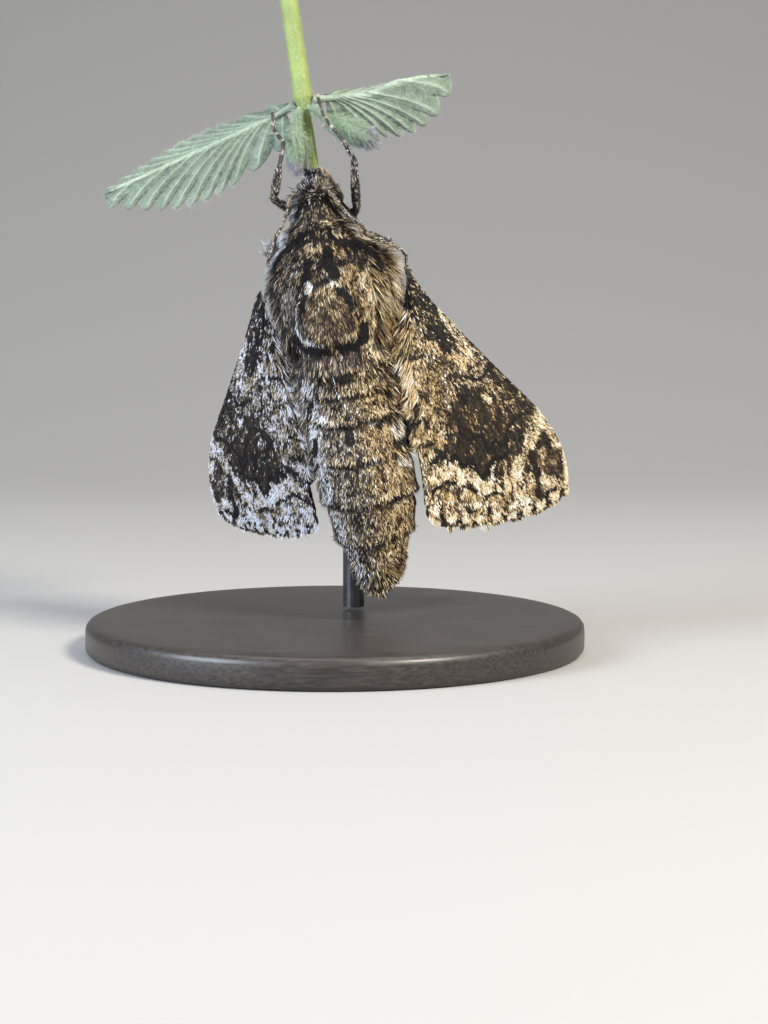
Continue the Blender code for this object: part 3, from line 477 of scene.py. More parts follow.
def tinted_finish(name, roughness, grain_scale, grain, bump, specular=0.4):
    """A finish that takes its colour from the tint, varied by a fine grain that also roughens it."""
    finish, nodes, links, shader = shader_material(name)
    set_sockets(shader, {"Roughness": roughness, "Specular IOR Level": specular})
    tint = nodes.new("ShaderNodeAttribute")
    tint.attribute_name = "tint"
    place = nodes.new("ShaderNodeTexCoord")
    noise = add_node(nodes, "ShaderNodeTexNoise", {"Scale": grain_scale, "Detail": 3.0})
    spread = add_node(nodes, "ShaderNodeMapRange", {"To Min": 1.0 - grain, "To Max": 1.0 + grain})
    scaled = nodes.new("ShaderNodeVectorMath")
    scaled.operation = "SCALE"
    wire(links, (place, "Object", noise, "Vector"), (noise, "Fac", spread, "Value"),
         (tint, "Color", scaled, 0), (spread, "Result", scaled, "Scale"),
         (scaled, "Vector", shader, "Base Color"))
    if bump:
        relief = add_node(nodes, "ShaderNodeBump", {"Strength": bump, "Distance": 0.0001})
        wire(links, (noise, "Fac", relief, "Height"), (relief, "Normal", shader, "Normal"))
    return finish


def dress(skin, nodes, finish, colours=None):
    """Give a skin its colours and finish, and let it stand for some nodes on the root body."""
    if colours is not None:
        paint(skin.data, colours)
    skin.data.materials.clear()
    skin.data.materials.append(finish)
    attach(skin, "root")
    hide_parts(*nodes)


TRUNK_NODES = ("head", "thorax", "abdomen")
skin_finish = tinted_finish("scale_skin", roughness=0.8, grain_scale=9000.0, grain=0.35, bump=0.6)
trunk = grown_skin("moth_trunk", TRUNK_NODES, voxel=0.15, depth=0.28, growth=0.25)
trunk_points, trunk_normals, _ = mesh_arrays(trunk.data)
trunk_places = to_moth(trunk_points)
edge_gap = behind_edge(trunk_places)
ring_rise = hump(edge_gap, *SWELLING) + hump(edge_gap, *CREASE)
ring_rise = ring_rise * (1 - soft_step(trunk_places[:, 2], *FIRST_SWELLING))
trunk_points += trunk_normals * ring_rise[:, None] * MM
trunk.data.vertices.foreach_set("co", trunk_points.astype(np.float32).ravel())
trunk.data.update()
# Painted shade: the skin takes the markings darkened as shade under the fur
trunk_colours = SKIN_PAINTED_SHADE * trunk_mix(to_moth(trunk_points)) @ PALETTE
dress(trunk, TRUNK_NODES, skin_finish, trunk_colours)

# Fur and scales of the trunk: small closed kite-shaped blades rooted in the skin, lying towards
# the tail. Each takes one colour of the mix that lies under it, with like colours in clumps.
BAKE_PATCH = 0.003
ROOT_DEPTH = 0.03
BLADE_ROOF = 0.18
BRIGHTEST = 0.95
BLADE_CORNERS = np.array(((0, 2, 1), (1, 2, 3), (0, 1, 3), (0, 3, 2)))
BLADE_CHART = np.array(((0.0, -0.5), (-0.5, 0.0), (0.5, 0.0), (0.0, 0.5)))
# Soft edges of the creases with short fur and of the ring edges with long fur, and the parting
CREASE_FUR = ((-0.1, 0.0), (0.3, 0.5))
EDGE_FUR = ((-0.7, -0.4), (-0.1, 0.0))
PARTING = (1.0, 8.4, 0.4)
SEEN_SHARE = 0.7
# Painted light: the tint of the cool light on the fur's left side and of the warm light on its right
PAINTED_COOL_LIGHT = np.array((0.94, 0.98, 1.07))
PAINTED_WARM_LIGHT = np.array((1.05, 1.0, 0.90))
fur_finish = tinted_finish("moth_fur", roughness=0.6, grain_scale=5000.0, grain=0.2, bump=0.0,
                           specular=0.16)


def unit(ways):
    """Rows made one long."""
    return ways / np.maximum(np.linalg.norm(ways, axis=1), 1e-9)[:, None]


def scatter(mesh, count, draw, density=None):
    """Roots spread over a skin by area times a density: their places and the skin's normals."""
    points, normals, corners = mesh_arrays(mesh)
    a, b, c = (points[corners[:, k]] for k in range(3))
    facing = np.cross(b - a, c - a)
    area = np.linalg.norm(facing, axis=1)
    if density is not None:
        area = area * density((a + b + c) / 3, facing / np.maximum(area, 1e-20)[:, None])
    reach = np.cumsum(area)
    chosen = np.searchsorted(reach, (np.arange(count) + draw.random(count)) / count * reach[-1])
    chosen = np.minimum(chosen, len(corners) - 1)
    first = np.sqrt(draw.random(count))[:, None]
    second = draw.random(count)[:, None]
    weights = np.hstack((1 - first, first * (1 - second), first * second))
    roots = np.einsum("nk,nkd->nd", weights, points[corners[chosen]])
    ups = np.einsum("nk,nkd->nd", weights, normals[corners[chosen]])
    return roots, unit(ups)


def drawn_tints(mix, clump, draw, clumping=0.5):
    """A palette colour for each blade, drawn from its mix, in clumps of like shade."""
    luck = draw.random(len(mix)) * (1 - clumping) + clump * clumping
    luck = (np.argsort(np.argsort(luck)) + 0.5) / len(luck)
    kind = np.minimum((np.cumsum(mix, axis=1) < luck[:, None]).sum(axis=1), len(PALETTE) - 1)
    return PALETTE[kind] * draw.uniform(0.75, 1.2, len(mix))[:, None]


def lay_coat(name, roots, ways, ups, lengths, widths, lifts, tints, chart, finish=fur_finish,
             widest=0.45, shades=(0.22, 0.9, 0.9, 1.2)):
    """Closed kite-shaped blades in one mesh; lengths and widths in mm, lifts as shares of length.

    They are widest at a share of their length, and their tint is scaled at the root, both sides and the tip:
    painted shade at the root and painted light towards the tip.
    """
    count = len(roots)
    ways = unit(ways - ups * np.sum(ways * ups, axis=1)[:, None])
    sides = np.cross(ways, ups)
    long, wide = (np.broadcast_to(v, count)[:, None] * MM for v in (lengths, widths))
    lift = np.broadcast_to(lifts, count)[:, None]
    start = roots - ups * ROOT_DEPTH * MM
    middle = start + ways * long * widest + ups * (long * lift * widest - wide * BLADE_ROOF)
    points = np.stack((start, middle + sides * wide / 2, middle - sides * wide / 2,
                       start + ways * long + ups * long * lift), axis=1)
    corners = (BLADE_CORNERS[None] + 4 * np.arange(count)[:, None, None]).reshape(-1)
    mesh = bpy.data.meshes.new(name)
    mesh.vertices.add(4 * count)
    mesh.vertices.foreach_set("co", points.astype(np.float32).ravel())
    mesh.loops.add(len(corners))
    mesh.loops.foreach_set("vertex_index", corners.astype(np.int32))
    mesh.polygons.add(len(corners) // 3)
    mesh.polygons.foreach_set("loop_start", np.arange(0, len(corners), 3, dtype=np.int32))
    mesh.update(calc_edges=True)
    mesh.shade_flat()
    # Painted shade at each blade's root, under the blades that lie over it, and painted light at its tip
    tones = np.minimum(tints[:, None, :] * np.array(shades)[None, :, None], BRIGHTEST)
    paint(mesh, tones.reshape(-1, 3))
    low, high = chart.min(axis=0), chart.max(axis=0)
    centres = (chart - low) / (high - low) * (1 - 2 * BAKE_PATCH) + BAKE_PATCH
    patches = centres[:, None, :] + BAKE_PATCH * BLADE_CHART[None]
    bake = mesh.uv_layers.new(name="OFBake")
    bake.data.foreach_set("uv", patches.reshape(-1, 2)[corners].astype(np.float32).ravel())
    mesh.materials.append(finish)
    coat = put_in_scene(name, mesh)
    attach(coat, "root")


def trunk_way(p):
    """The way the fur lies on the trunk, in the moth's frame: tailwards, but forwards on the brow."""
    u, angle, z = back_place(p)
    brow = soft_step(z, 8.0, 8.8)
    way = np.zeros_like(p)
    way[:, 2] = 2 * brow - 1
    on_shield = 1 - soft_step(np.hypot(u - 0.2, (z + 2.4) * 0.9), 1.4, 2.2)
    way[:, 0] = np.sin(angle) * 0.12 + on_shield * 0.35 * (u - 0.2) - brow * 0.22 * (p[:, 0] + 0.3)
    way[:, 1] = -brow * 0.22 * (p[:, 1] + 0.1)
    return way


def fur_on_trunk(name, seed, count, wanted, way_at, long, width, lift, wander):
    """Fur where wanted is above 0, coloured by the markings under its tips and tinted with painted cool light
    on the left and painted warm light on the right.

    Lengths and lifts are given at places towards the tail as two matching rows.
    """
    draw = np.random.default_rng(seed)
    roots, ups = scatter(trunk.data, count, draw, lambda centres, facing: wanted(to_moth(centres)))
    p = to_moth(roots)
    u, angle, z = back_place(p)
    ways = unit(unit(way_at(p)) + draw.normal(0.0, wander, p.shape))
    lengths = np.interp(-z, *long) * draw.uniform(0.75, 1.25, count)
    lifts = np.interp(-z, *lift) * draw.uniform(0.4, 1.7, count)
    behind = behind_edge(p)
    on_rings = z < FIRST_RING[1]
    in_crease = between(behind, *CREASE_FUR) * on_rings
    at_edge = between(behind, *EDGE_FUR) * on_rings
    lengths = lengths * (1 - 0.3 * in_crease) * (1 + 0.45 * at_edge * draw.random(count))
    parting = hump(z, *PARTING)
    ways = unit(ways + parting[:, None] * draw.normal(0.0, 0.6, p.shape))
    by_feeler = 1 - soft_step(feeler_gap(p), 0.5, 1.0)
    lifts = lifts + 0.1 * at_edge + 0.7 * parting + 0.45 * by_feeler
    seen = p + ways * (SEEN_SHARE * lengths)[:, None]
    tints = drawn_tints(trunk_mix(seen), ripple(u * 4.4, z * 2.2, seed), draw, 0.45)
    # Painted light: the fur is tinted cool on the left side and warm on the right
    warm_light_share = soft_step(u, -5.0, 4.0)[:, None]
    tints = tints * (PAINTED_COOL_LIGHT * (1 - warm_light_share) + PAINTED_WARM_LIGHT * warm_light_share)
    lay_coat(name, roots, ways @ MOTH_AXES.T, ups, lengths,
             width * draw.uniform(0.7, 1.3, count), lifts, tints, np.column_stack((angle, z)))


def band(front, rear):
    """Full on the trunk between two places, less dense on the belly."""
    def wanted(p):
        angle = np.abs(back_place(p)[1])
        return (p[:, 2] < front) * (p[:, 2] >= rear) * (1.0 - 0.6 * soft_step(angle, 1.7, 2.3))
    return wanted


# Name, seed, count, front and rear, lengths, width, lifts and wander of the fur that lies flat
FLAT_FUR = (
    ("fur_head", 11, 20000, (12.0, 5.9),
     ((-10.2, -9.4, -8.6, -5.9), (0.38, 0.46, 0.5, 0.6)), 0.068,
     ((-10.2, -9.4, -8.0), (0.26, 0.28, 0.16)), 0.2),
    ("fur_thorax_front", 12, 32000, (5.9, 0.4),
     ((-6.0, -4.5, -3.0), (0.5, 0.55, 0.6)), 0.092,
     ((-6.0, 0.0), (0.26, 0.24)), 0.2),
    ("fur_thorax_rear", 13, 34000, (0.4, -6.3),
     ((0.0, 4.0, 5.4, 6.3), (0.65, 0.7, 0.65, 1.0)), 0.098,
     ((0.0, 6.3), (0.22, 0.2)), 0.18),
    ("fur_abdomen_front", 14, 31000, (-6.3, -14.4),
     ((6.2, 8.6, 9.6, 14.5), (1.0, 0.8, 0.5, 0.46)), 0.115,
     ((6.2, 14.5), (0.2, 0.18)), 0.24),
    ("fur_abdomen_rear", 15, 31000, (-14.4, -29.0),
     ((14.5, 25.0, 26.2, 27.5), (0.46, 0.5, 0.85, 1.2)), 0.115,
     ((14.5, 25.5, 26.5), (0.18, 0.2, 0.3)), 0.24),
)
for name, seed, count, (front, rear), long, width, lift, wander in FLAT_FUR:
    fur_on_trunk(name, seed, count, band(front, rear), trunk_way, long, width, lift, wander)


def flank(side, front, rear, inner, outer):
    """Full on one side of the trunk between two places and two angles from the back's middle."""
    def wanted(p):
        angle = side * back_place(p)[1]
        return (p[:, 2] < front) * (p[:, 2] > rear) * (angle > inner) * (angle < outer)
    return wanted


def outward_way(spread):
    """Tailwards and out from the back over the wing's root."""
    def way_at(p):
        way = np.zeros_like(p)
        way[:, 0] = np.sign(p[:, 0]) * spread
        way[:, 1] = -0.1
        way[:, 2] = -1.0
        return way
    return way_at


# Name, seed, count, front and rear, inner and outer angle, outward spread, lengths, width, lifts
# and wander of the long hair on each side
SIDE_HAIR = (
    ("shoulder_hair", 16, 2600, (4.6, -5.4), (0.85, 1.5), 0.6,
     ((-4.6, -2.6, -0.6, 3.0, 5.4), (0.7, 1.0, 1.4, 1.6, 1.5)), 0.085,
     ((-4.6, 5.4), (0.26, 0.34)), 0.16),
    ("root_hair", 46, 1700, (3.4, -3.0), (1.2, 1.8), 0.3,
     ((-3.4, -1.0, 3.0), (0.7, 1.1, 1.3)), 0.11,
     ((-3.4, 3.0), (0.55, 0.62)), 0.18),
    ("flank_hair", 26, 2600, (-5.2, -17.5), (0.95, 1.5), 0.8,
     ((5.2, 9.0, 17.0), (1.2, 1.1, 0.8)), 0.11,
     ((5.2, 17.0), (0.24, 0.24)), 0.16),
    ("tail_hair", 32, 700, (-24.6, -26.6), (0.5, 2.0), 0.9,
     ((24.6, 26.6), (0.9, 1.2)), 0.1,
     ((24.6, 26.6), (0.22, 0.2)), 0.22),
    ("brow_hair", 36, 3200, (9.9, 4.4), (0.9, 1.9), 0.5,
     ((-9.9, -8.0, -4.4), (0.7, 0.95, 0.8)), 0.07,
     ((-9.9, -4.4), (0.26, 0.22)), 0.16),
)
for side, word in ((1, "right"), (-1, "left")):
    for name, seed, count, (front, rear), (inner, outer), spread, long, width, lift, wander in SIDE_HAIR:
        fur_on_trunk(f"{name}_{word}", seed + side, count, flank(side, front, rear, inner, outer),
                     outward_way(spread), long, width, lift, wander)

# Wings: thin membranes with their raised veins, in place of the solids, then overlapping scales
# on both faces and a chequered fringe. Places on a wing are s mm towards the tail and t mm
# outwards from its hinge.
WING_POSE = {
    "right": {"side": 1, "hinge": (5.6, -1.0, 1.0), "slope": 42.0, "tilt": 0.0, "sweep": 0.0},
    "left": {"side": -1, "hinge": (6.0, -1.1, 0.7), "slope": 36.0, "tilt": -9.5, "sweep": 6.0},
}
# Each wing's tint of painted light, warm on the right and cool on the left, and the share of its cream and
# gold painted white instead, for the cool light on the left wing
WING_PAINTED_LIGHT = {"right": np.array((1.03, 0.99, 0.89)), "left": np.array((0.84, 0.86, 0.95))}
WING_PAINTED_WHITENING = {"right": 0.0, "left": 0.3}
WING_DEPTH = 0.11
VEIN_FOCUS = (-4.0, -1.0)
FRINGE_PERIOD = 1.6
FRINGE_WIDE = 0.95
# Height, ripples round and along, and seed of the teeth that colours run out in along the veins
TEETH = ((0.9, 24.0, 0.4, 21), (0.7, 62.0, 0.9, 22))
CALM_SHARE = 0.25
MARGIN_SLANT = 0.18
MARGIN_START = {"forewing": 17.5, "hindwing": 15.0}
OUTER_GROUND = (40, 32, 12, 10, 6, 0)
MARGIN_GROUND = (22, 15, 10, 16, 27, 10)
PATCH_GROUND = (30, 57, 7, 5, 1, 0)
FRINGE_PALE = (0, 1, 2, 3, 64, 30)
FRINGE_DARK = (50, 46, 4, 0, 0, 0)
GOLD_SPOT = (4, 6, 14, 60, 16, 0)
RIM_SPOT = (4, 12, 26, 38, 20, 0)
DARK_PATCH = (
    (12.1, 3.9), (11.9, 5.6), (12.2, 7.5), (13.4, 8.6), (14.8, 9.3), (16.7, 9.2), (18.3, 9.0), (18.9, 7.3),
    (20.0, 6.5), (20.0, 5.5), (18.6, 5.0), (18.9, 4.2), (17.7, 3.6), (17.6, 1.7), (15.3, 3.2), (14.2, 3.2),
)
# Strokes of up to this half width take only a calm share of the teeth
THIN_MARK = 0.3
WING_MARKS = (
    # From the hinge to the pale band across the middle
    (((8.0, 0.6), (11.0, 0.6), (16.0, 0.4)), 1.5, (16, 18, 18, 24, 21, 3)),
    (((0.0, 0.4), (3.6, 2.2), (7.0, 3.9)), 1.45, (68, 19, 2, 2, 7, 2)),
    (((1.5, -0.8), (4.0, -0.9), (6.0, 0.4)), 0.8, TAWNY),
    (((3.6, -1.2), (5.4, 0.2)), 0.35, SOOT),
    (((5.0, 4.7), (7.2, 5.7), (9.4, 6.6)), 0.55, (20, 13, 8, 7, 36, 16)),
    (((9.6, 5.6), (8.2, 3.4), (7.4, 1.6)), 0.55, TAWNY),
    (((5.2, 5.3), (7.4, 6.9), (10.0, 8.9)), 0.35, FLECKED),
    (((10.4, 8.9), (11.6, 9.2), (12.6, 9.2)), 0.55, (58, 34, 4, 2, 2, 0)),
    (((5.9, 3.0), (7.9, 4.1)), 0.42, SOOT),
    (((8.1, -2.0), (8.5, -0.6), (8.4, 2.3)), 0.18, SOOT),
    # Dark ground before the patch, and the gold inner part
    (((11.6, 9.6), (13.8, 10.8), (14.6, 11.6)), 0.9, (36, 36, 10, 8, 5, 0, 5)),
    (((14.6, 10.6), (16.6, 10.8), (17.8, 10.2)), 1.0, (32, 44, 10, 7, 4, 0, 3)),
    (((10.0, 2.2), (13.6, 2.0)), 0.8, (18, 18, 14, 34, 14, 0, 2)),
    (((9.0, -0.6), (10.4, 0.2)), 0.5, CREAMY),
    (((10.3, 9.1), (10.8, 8.1), (11.2, 7.3), (11.3, 6.5), (10.7, 5.4)), 0.2, BLACK),
    (((15.0, 0.4), (15.3, 0.7)), 0.42, GOLD_SPOT),
    (((15.6, 2.2), (16.4, 2.3)), 0.4, GOLD_SPOT),
    (((14.6, -0.3), (14.2, 0.9), (14.9, 1.6)), 0.15, BLACK),
    (((16.4, 0.2), (16.2, 1.3)), 0.2, BLACK),
    (((12.4, -1.5), (14.6, -1.5), (16.4, -1.2)), 0.4, WHITE),
    # Zigzag lines across the dark patch, and white teeth along its rear edge
    (((17.8, 1.3), (17.5, 2.2), (18.5, 2.9), (17.6, 3.5), (19.0, 4.2), (18.4, 5.0), (20.1, 5.7), (19.8, 6.5),
      (18.8, 7.2), (18.6, 8.2), (18.3, 9.2)), 0.24, BLACK),
    (((15.7, 4.2), (16.6, 5.1), (16.5, 6.4), (18.0, 7.0), (16.9, 7.9), (18.1, 9.0), (16.4, 8.9), (15.5, 10.3),
      (14.9, 11.7), (15.7, 12.6)), 0.19, BLACK),
    (((12.4, 4.4), (12.6, 5.2), (13.6, 5.0)), 0.16, BLACK),
    (((18.0, 2.5), (18.6, 2.4)), 0.1, WHITE),
    (((18.6, 2.4), (19.2, 2.2)), 0.24, WHITE),
    (((18.3, 3.6), (19.3, 3.6)), 0.12, CREAMY),
    (((19.0, 5.1), (19.9, 4.9)), 0.12, WHITE),
    (((19.2, 7.3), (19.8, 7.2)), 0.1, WHITE),
    (((19.8, 7.2), (20.6, 7.0)), 0.25, WHITE),
    (((19.3, 8.6), (20.6, 8.3)), 0.14, CREAMY),
    (((19.0, 10.1), (20.3, 9.8)), 0.12, WHITE),
    (((12.9, 7.3), (13.3, 7.8)), 0.27, CREAMY),
    # Pale bands and the dark mark at the tip
    (((15.5, 13.1), (17.4, 14.2), (18.6, 14.8)), 0.62, (16, 14, 9, 8, 38, 15)),
    (((16.2, 12.4), (17.8, 11.6), (19.4, 10.4), (20.8, 9.2), (21.3, 8.0)), 0.72, CREAMY),
    (((15.8, 11.0), (17.0, 10.9), (18.4, 10.3)), 0.3, (30, 40, 18, 4, 8, 0)),
    (((19.1, 1.2), (19.2, 2.9), (19.9, 4.4), (21.0, 6.2), (21.4, 7.6)), 0.62, CREAMY),
    (((19.6, 13.3), (20.4, 13.9), (21.0, 14.9)), 0.95, (20, 38, 26, 8, 8, 0)),
    (((19.4, 11.6), (20.9, 12.1), (22.3, 11.7), (23.2, 12.4)), 0.34, (70, 26, 4, 0, 0, 0)),
    (((21.7, 13.3), (22.4, 14.6)), 0.5, CREAMY),
    (((23.1, 12.5), (22.5, 13.1), (22.5, 13.7), (23.3, 14.3)), 0.17, BLACK),
    # Gold spots, arches and white flecks along the outer margin
    (((21.1, 2.0), (21.2, 2.6)), 0.5, RIM_SPOT),
    (((21.7, 4.5), (21.9, 5.0)), 0.5, RIM_SPOT),
    (((22.4, 7.0), (22.6, 7.6)), 0.5, RIM_SPOT),
    (((20.5, 1.0), (19.95, 2.0), (20.1, 3.3)), 0.17, BLACK),
    (((20.6, 4.0), (21.3, 5.3)), 0.17, BLACK),
    (((22.0, 6.2), (21.7, 7.2), (22.1, 8.1)), 0.16, BLACK),
    (((22.2, 1.0), (21.7, 1.4)), 0.25, WHITE),
    (((22.3, 3.4), (22.5, 5.4)), 0.22, WHITE),
    (((23.2, 8.6), (23.2, 10.8)), 0.3, WHITE),
    (((22.3, 3.7), (23.0, 4.2), (22.9, 4.9)), 0.12, BLACK),
    (((23.0, 6.0), (23.7, 6.8)), 0.16, SOOT),
)
HIND_MARKS = (
    (((6.0, 0.0), (10.0, 3.0), (13.0, 7.0)), 1.2, (10, 22, 34, 12, 18, 4)),
    (((17.0, 1.0), (17.6, 5.0), (17.0, 9.0)), 0.9, (30, 44, 18, 4, 4, 0)),
    (((12.5, 0.0), (13.2, 4.0), (14.0, 8.0)), 0.4, SOOT),
)
UNDERSIDE = (8, 24, 38, 10, 16, 4)
# The left wing's inner strokes are white and silver where the right's are cream: partly the moth's own
# colours and partly painted cool light on the left
INNER_MARKS = {
    "right": (
        (((9.6, -4.0), (9.8, -1.0)), 0.5, BLACK),
        (((12.4, -4.0), (12.6, 0.0)), 0.55, CREAMY),
        (((13.9, -4.0), (14.2, 0.0)), 0.65, SOOT),
        (((16.0, -4.0), (16.4, 1.0)), 0.75, CREAMY),
    ),
    "left": (
        (((7.0, -4.0), (8.6, -1.0)), 0.9, SILVER),
        (((11.0, -4.0), (11.4, 0.0)), 0.6, WHITE),
        (((12.4, -4.0), (12.8, 0.0)), 0.5, BLACK),
        (((14.2, -4.0), (14.6, 0.0)), 0.6, WHITE),
        (((15.6, -4.0), (16.0, 1.0)), 0.45, SOOT),
        (((17.2, -4.0), (17.6, 1.0)), 0.5, SILVER),
    ),
}
INNER_REAR = {"right": 15.4, "left": 17.2}


def wing_axes(pose):
    """Hinge and unit ways tailwards, outwards and up from the wing of one side."""
    side = pose["side"]
    slope, tilt, sweep = (math.radians(pose[k]) for k in ("slope", "tilt", "sweep"))
    outward = np.array((side * math.cos(slope), math.sin(slope), 0.0))
    rise = np.array((side * math.sin(slope), -math.cos(slope), 0.0))
    tailward = np.array((0.0, 0.0, -1.0)) * math.cos(tilt) + rise * math.sin(tilt)
    up = rise * math.cos(tilt) + np.array((0.0, 0.0, 1.0)) * math.sin(tilt)
    swept = tailward * math.cos(sweep) + outward * math.sin(sweep)
    spread = outward * math.cos(sweep) - tailward * math.sin(sweep)
    return np.array((side * pose["hinge"][0], pose["hinge"][1], pose["hinge"][2])), swept, spread, up


WING_AXES = {word: wing_axes(pose) for word, pose in WING_POSE.items()}


def wing_rim(word):
    """Angles from the focus of the veins and the reach of a forewing's outline at each."""
    node = f"forewing_{word}"
    hinge, tailward, outward, _ = WING_AXES[word]
    rel = to_moth(solid_points(node)) - hinge
    flat = np.column_stack((rel @ tailward - VEIN_FOCUS[0], rel @ outward - VEIN_FOCUS[1]))
    ends = np.array([tuple(e.vertices) for e in bpy.data.objects[node].data.edges])
    share = np.linspace(0, 1, 24)[None, :, None]
    along = (flat[ends[:, 0]][:, None] * (1 - share) + flat[ends[:, 1]][:, None] * share).reshape(-1, 2)
    turns = np.arctan2(along[:, 1], along[:, 0])
    bearings = np.linspace(-0.2, 1.5, 171)
    nearest = np.round((turns - bearings[0]) / (bearings[1] - bearings[0])).astype(int)
    reach = np.zeros(len(bearings))
    np.maximum.at(reach, np.clip(nearest, 0, len(bearings) - 1), np.hypot(along[:, 0], along[:, 1]))
    return bearings[reach > 0], reach[reach > 0]


WING_RIMS = {word: wing_rim(word) for word in WING_POSE}


def inside(u, v, outline):
    """1 inside a closed outline and 0 outside it."""
    crossings = np.zeros(len(u), int)
    for (u0, v0), (u1, v1) in zip(outline, outline[1:] + outline[:1]):
        crosses = (v0 > v) != (v1 > v)
        crossings += crosses & (u < (u1 - u0) * (v - v0) / (v1 - v0 + 1e-12) + u0)
    return (crossings % 2).astype(float)


def from_focus(s, t):
    """Steps ahead and aside from the focus of the veins to places on a wing, reach and angle."""
    ahead, aside = s - VEIN_FOCUS[0], t - VEIN_FOCUS[1]
    return ahead, aside, np.hypot(ahead, aside), np.arctan2(aside, ahead)


def rim_gap(s, t, word):
    """How far in mm places on a forewing lie inside its outline."""
    _, _, reach, turn = from_focus(s, t)
    return np.interp(turn, *WING_RIMS[word]) - reach


def past_margin(s, t, kind):
    """1 on a wing's outer part, where its margin runs."""
    return soft_step(s + MARGIN_SLANT * t, MARGIN_START[kind], MARGIN_START[kind] + 1.0)


def wing_mix(s, t, kind, above, fringed, word):
    """Shares of the colours at places on a wing, their edges drawn out in teeth along the veins.

    Above is 1 on the upper face, and fringed is 1 for the fringe.
    """
    _, _, reach, turn = from_focus(s, t)
    teeth = sum(height * (ripple(turn * around, reach * along, seed) - 0.5)
                for height, around, along, seed in TEETH)
    wander = 0.25 * (ripple(s * 1.9, t * 1.9, 23) - 0.5)
    chequer = soft_step(np.cos(2 * math.pi * (t + 0.5 * wander) / FRINGE_PERIOD), 0.25, 0.45)
    gap = rim_gap(s, t, word) + 0.3 * chequer
    at_edge = 1 - soft_step(gap, FRINGE_WIDE - 0.08, FRINGE_WIDE + 0.08)
    at_edge = at_edge * past_margin(s, t, kind) * (kind == "forewing")
    calm_s = s + CALM_SHARE * teeth * np.cos(turn) - 0.6 * wander * np.sin(turn)
    calm_t = t + CALM_SHARE * teeth * np.sin(turn) + 0.6 * wander * np.cos(turn)
    s = s + teeth * np.cos(turn) - wander * np.sin(turn)
    t = t + teeth * np.sin(turn) + wander * np.cos(turn)
    mix = plain_mix(len(s), SPECKLED if kind == "forewing" else UNDERSIDE)
    if kind == "forewing":
        mix = mix_in(mix, soft_step(s, 10.0, 12.0) * soft_step(t, 6.0, 9.0), OUTER_GROUND)
        mix = mix_in(mix, soft_step(s, 20.6, 21.2), MARGIN_GROUND)
        mix = mix_in(mix, inside(s, t, DARK_PATCH), PATCH_GROUND)
    for path, half_width, recipe in (WING_MARKS if kind == "forewing" else HIND_MARKS):
        along, across = (s, t) if half_width > THIN_MARK else (calm_s, calm_t)
        mix = mix_in(mix, near_path(along, across, path, half_width), recipe)
    mix = mix_in(mix, (1 - above) * 0.85, UNDERSIDE)
    fringed = np.maximum(fringed, at_edge * above)
    mix = mix_in(mix, fringed, FRINGE_PALE)
    mix = mix_in(mix, fringed * chequer, FRINGE_DARK)
    # Painted cool light: part of the cream and gold is turned white on the left wing
    painted_whitening = mix[:, 3:5] * (WING_PAINTED_WHITENING[word] * np.array((1.2, 1.3)))
    mix[:, 3:5] -= painted_whitening
    mix[:, 5] += painted_whitening.sum(axis=1)
    return mix


def thin_membrane(name, node):
    """A finer, thinner copy of a wing's solid, with its veins still raised."""
    membrane = world_copy(name, (node,))
    shaped = bmesh.new()
    shaped.from_mesh(membrane.data)
    bmesh.ops.join_triangles(shaped, faces=shaped.faces, angle_face_threshold=1.0, angle_shape_threshold=3.0)
    shaped.to_mesh(membrane.data)
    shaped.free()
    finer = membrane.modifiers.new("finer", "SUBSURF")
    finer.levels = 2
    inset = membrane.modifiers.new("inset", "DISPLACE")
    inset.mid_level = 0.0
    inset.strength = -WING_DEPTH
    settle(membrane)
    membrane.data.transform(Matrix.Scale(MM, 4))
    return membrane


def wing_places(points, axes):
    """s and t of world points on a wing."""
    rel = to_moth(points) - axes[0]
    return rel @ axes[1], rel @ axes[2]


def at_margin(s, t, flat, kind):
    """1 on the rim along a wing's outer margin, where the fringe grows."""
    inner = soft_step(s, 11.0, 12.0) * (t < 2.5)
    return (1 - soft_step(flat, 0.55, 0.8)) * np.maximum(past_margin(s, t, kind), inner)


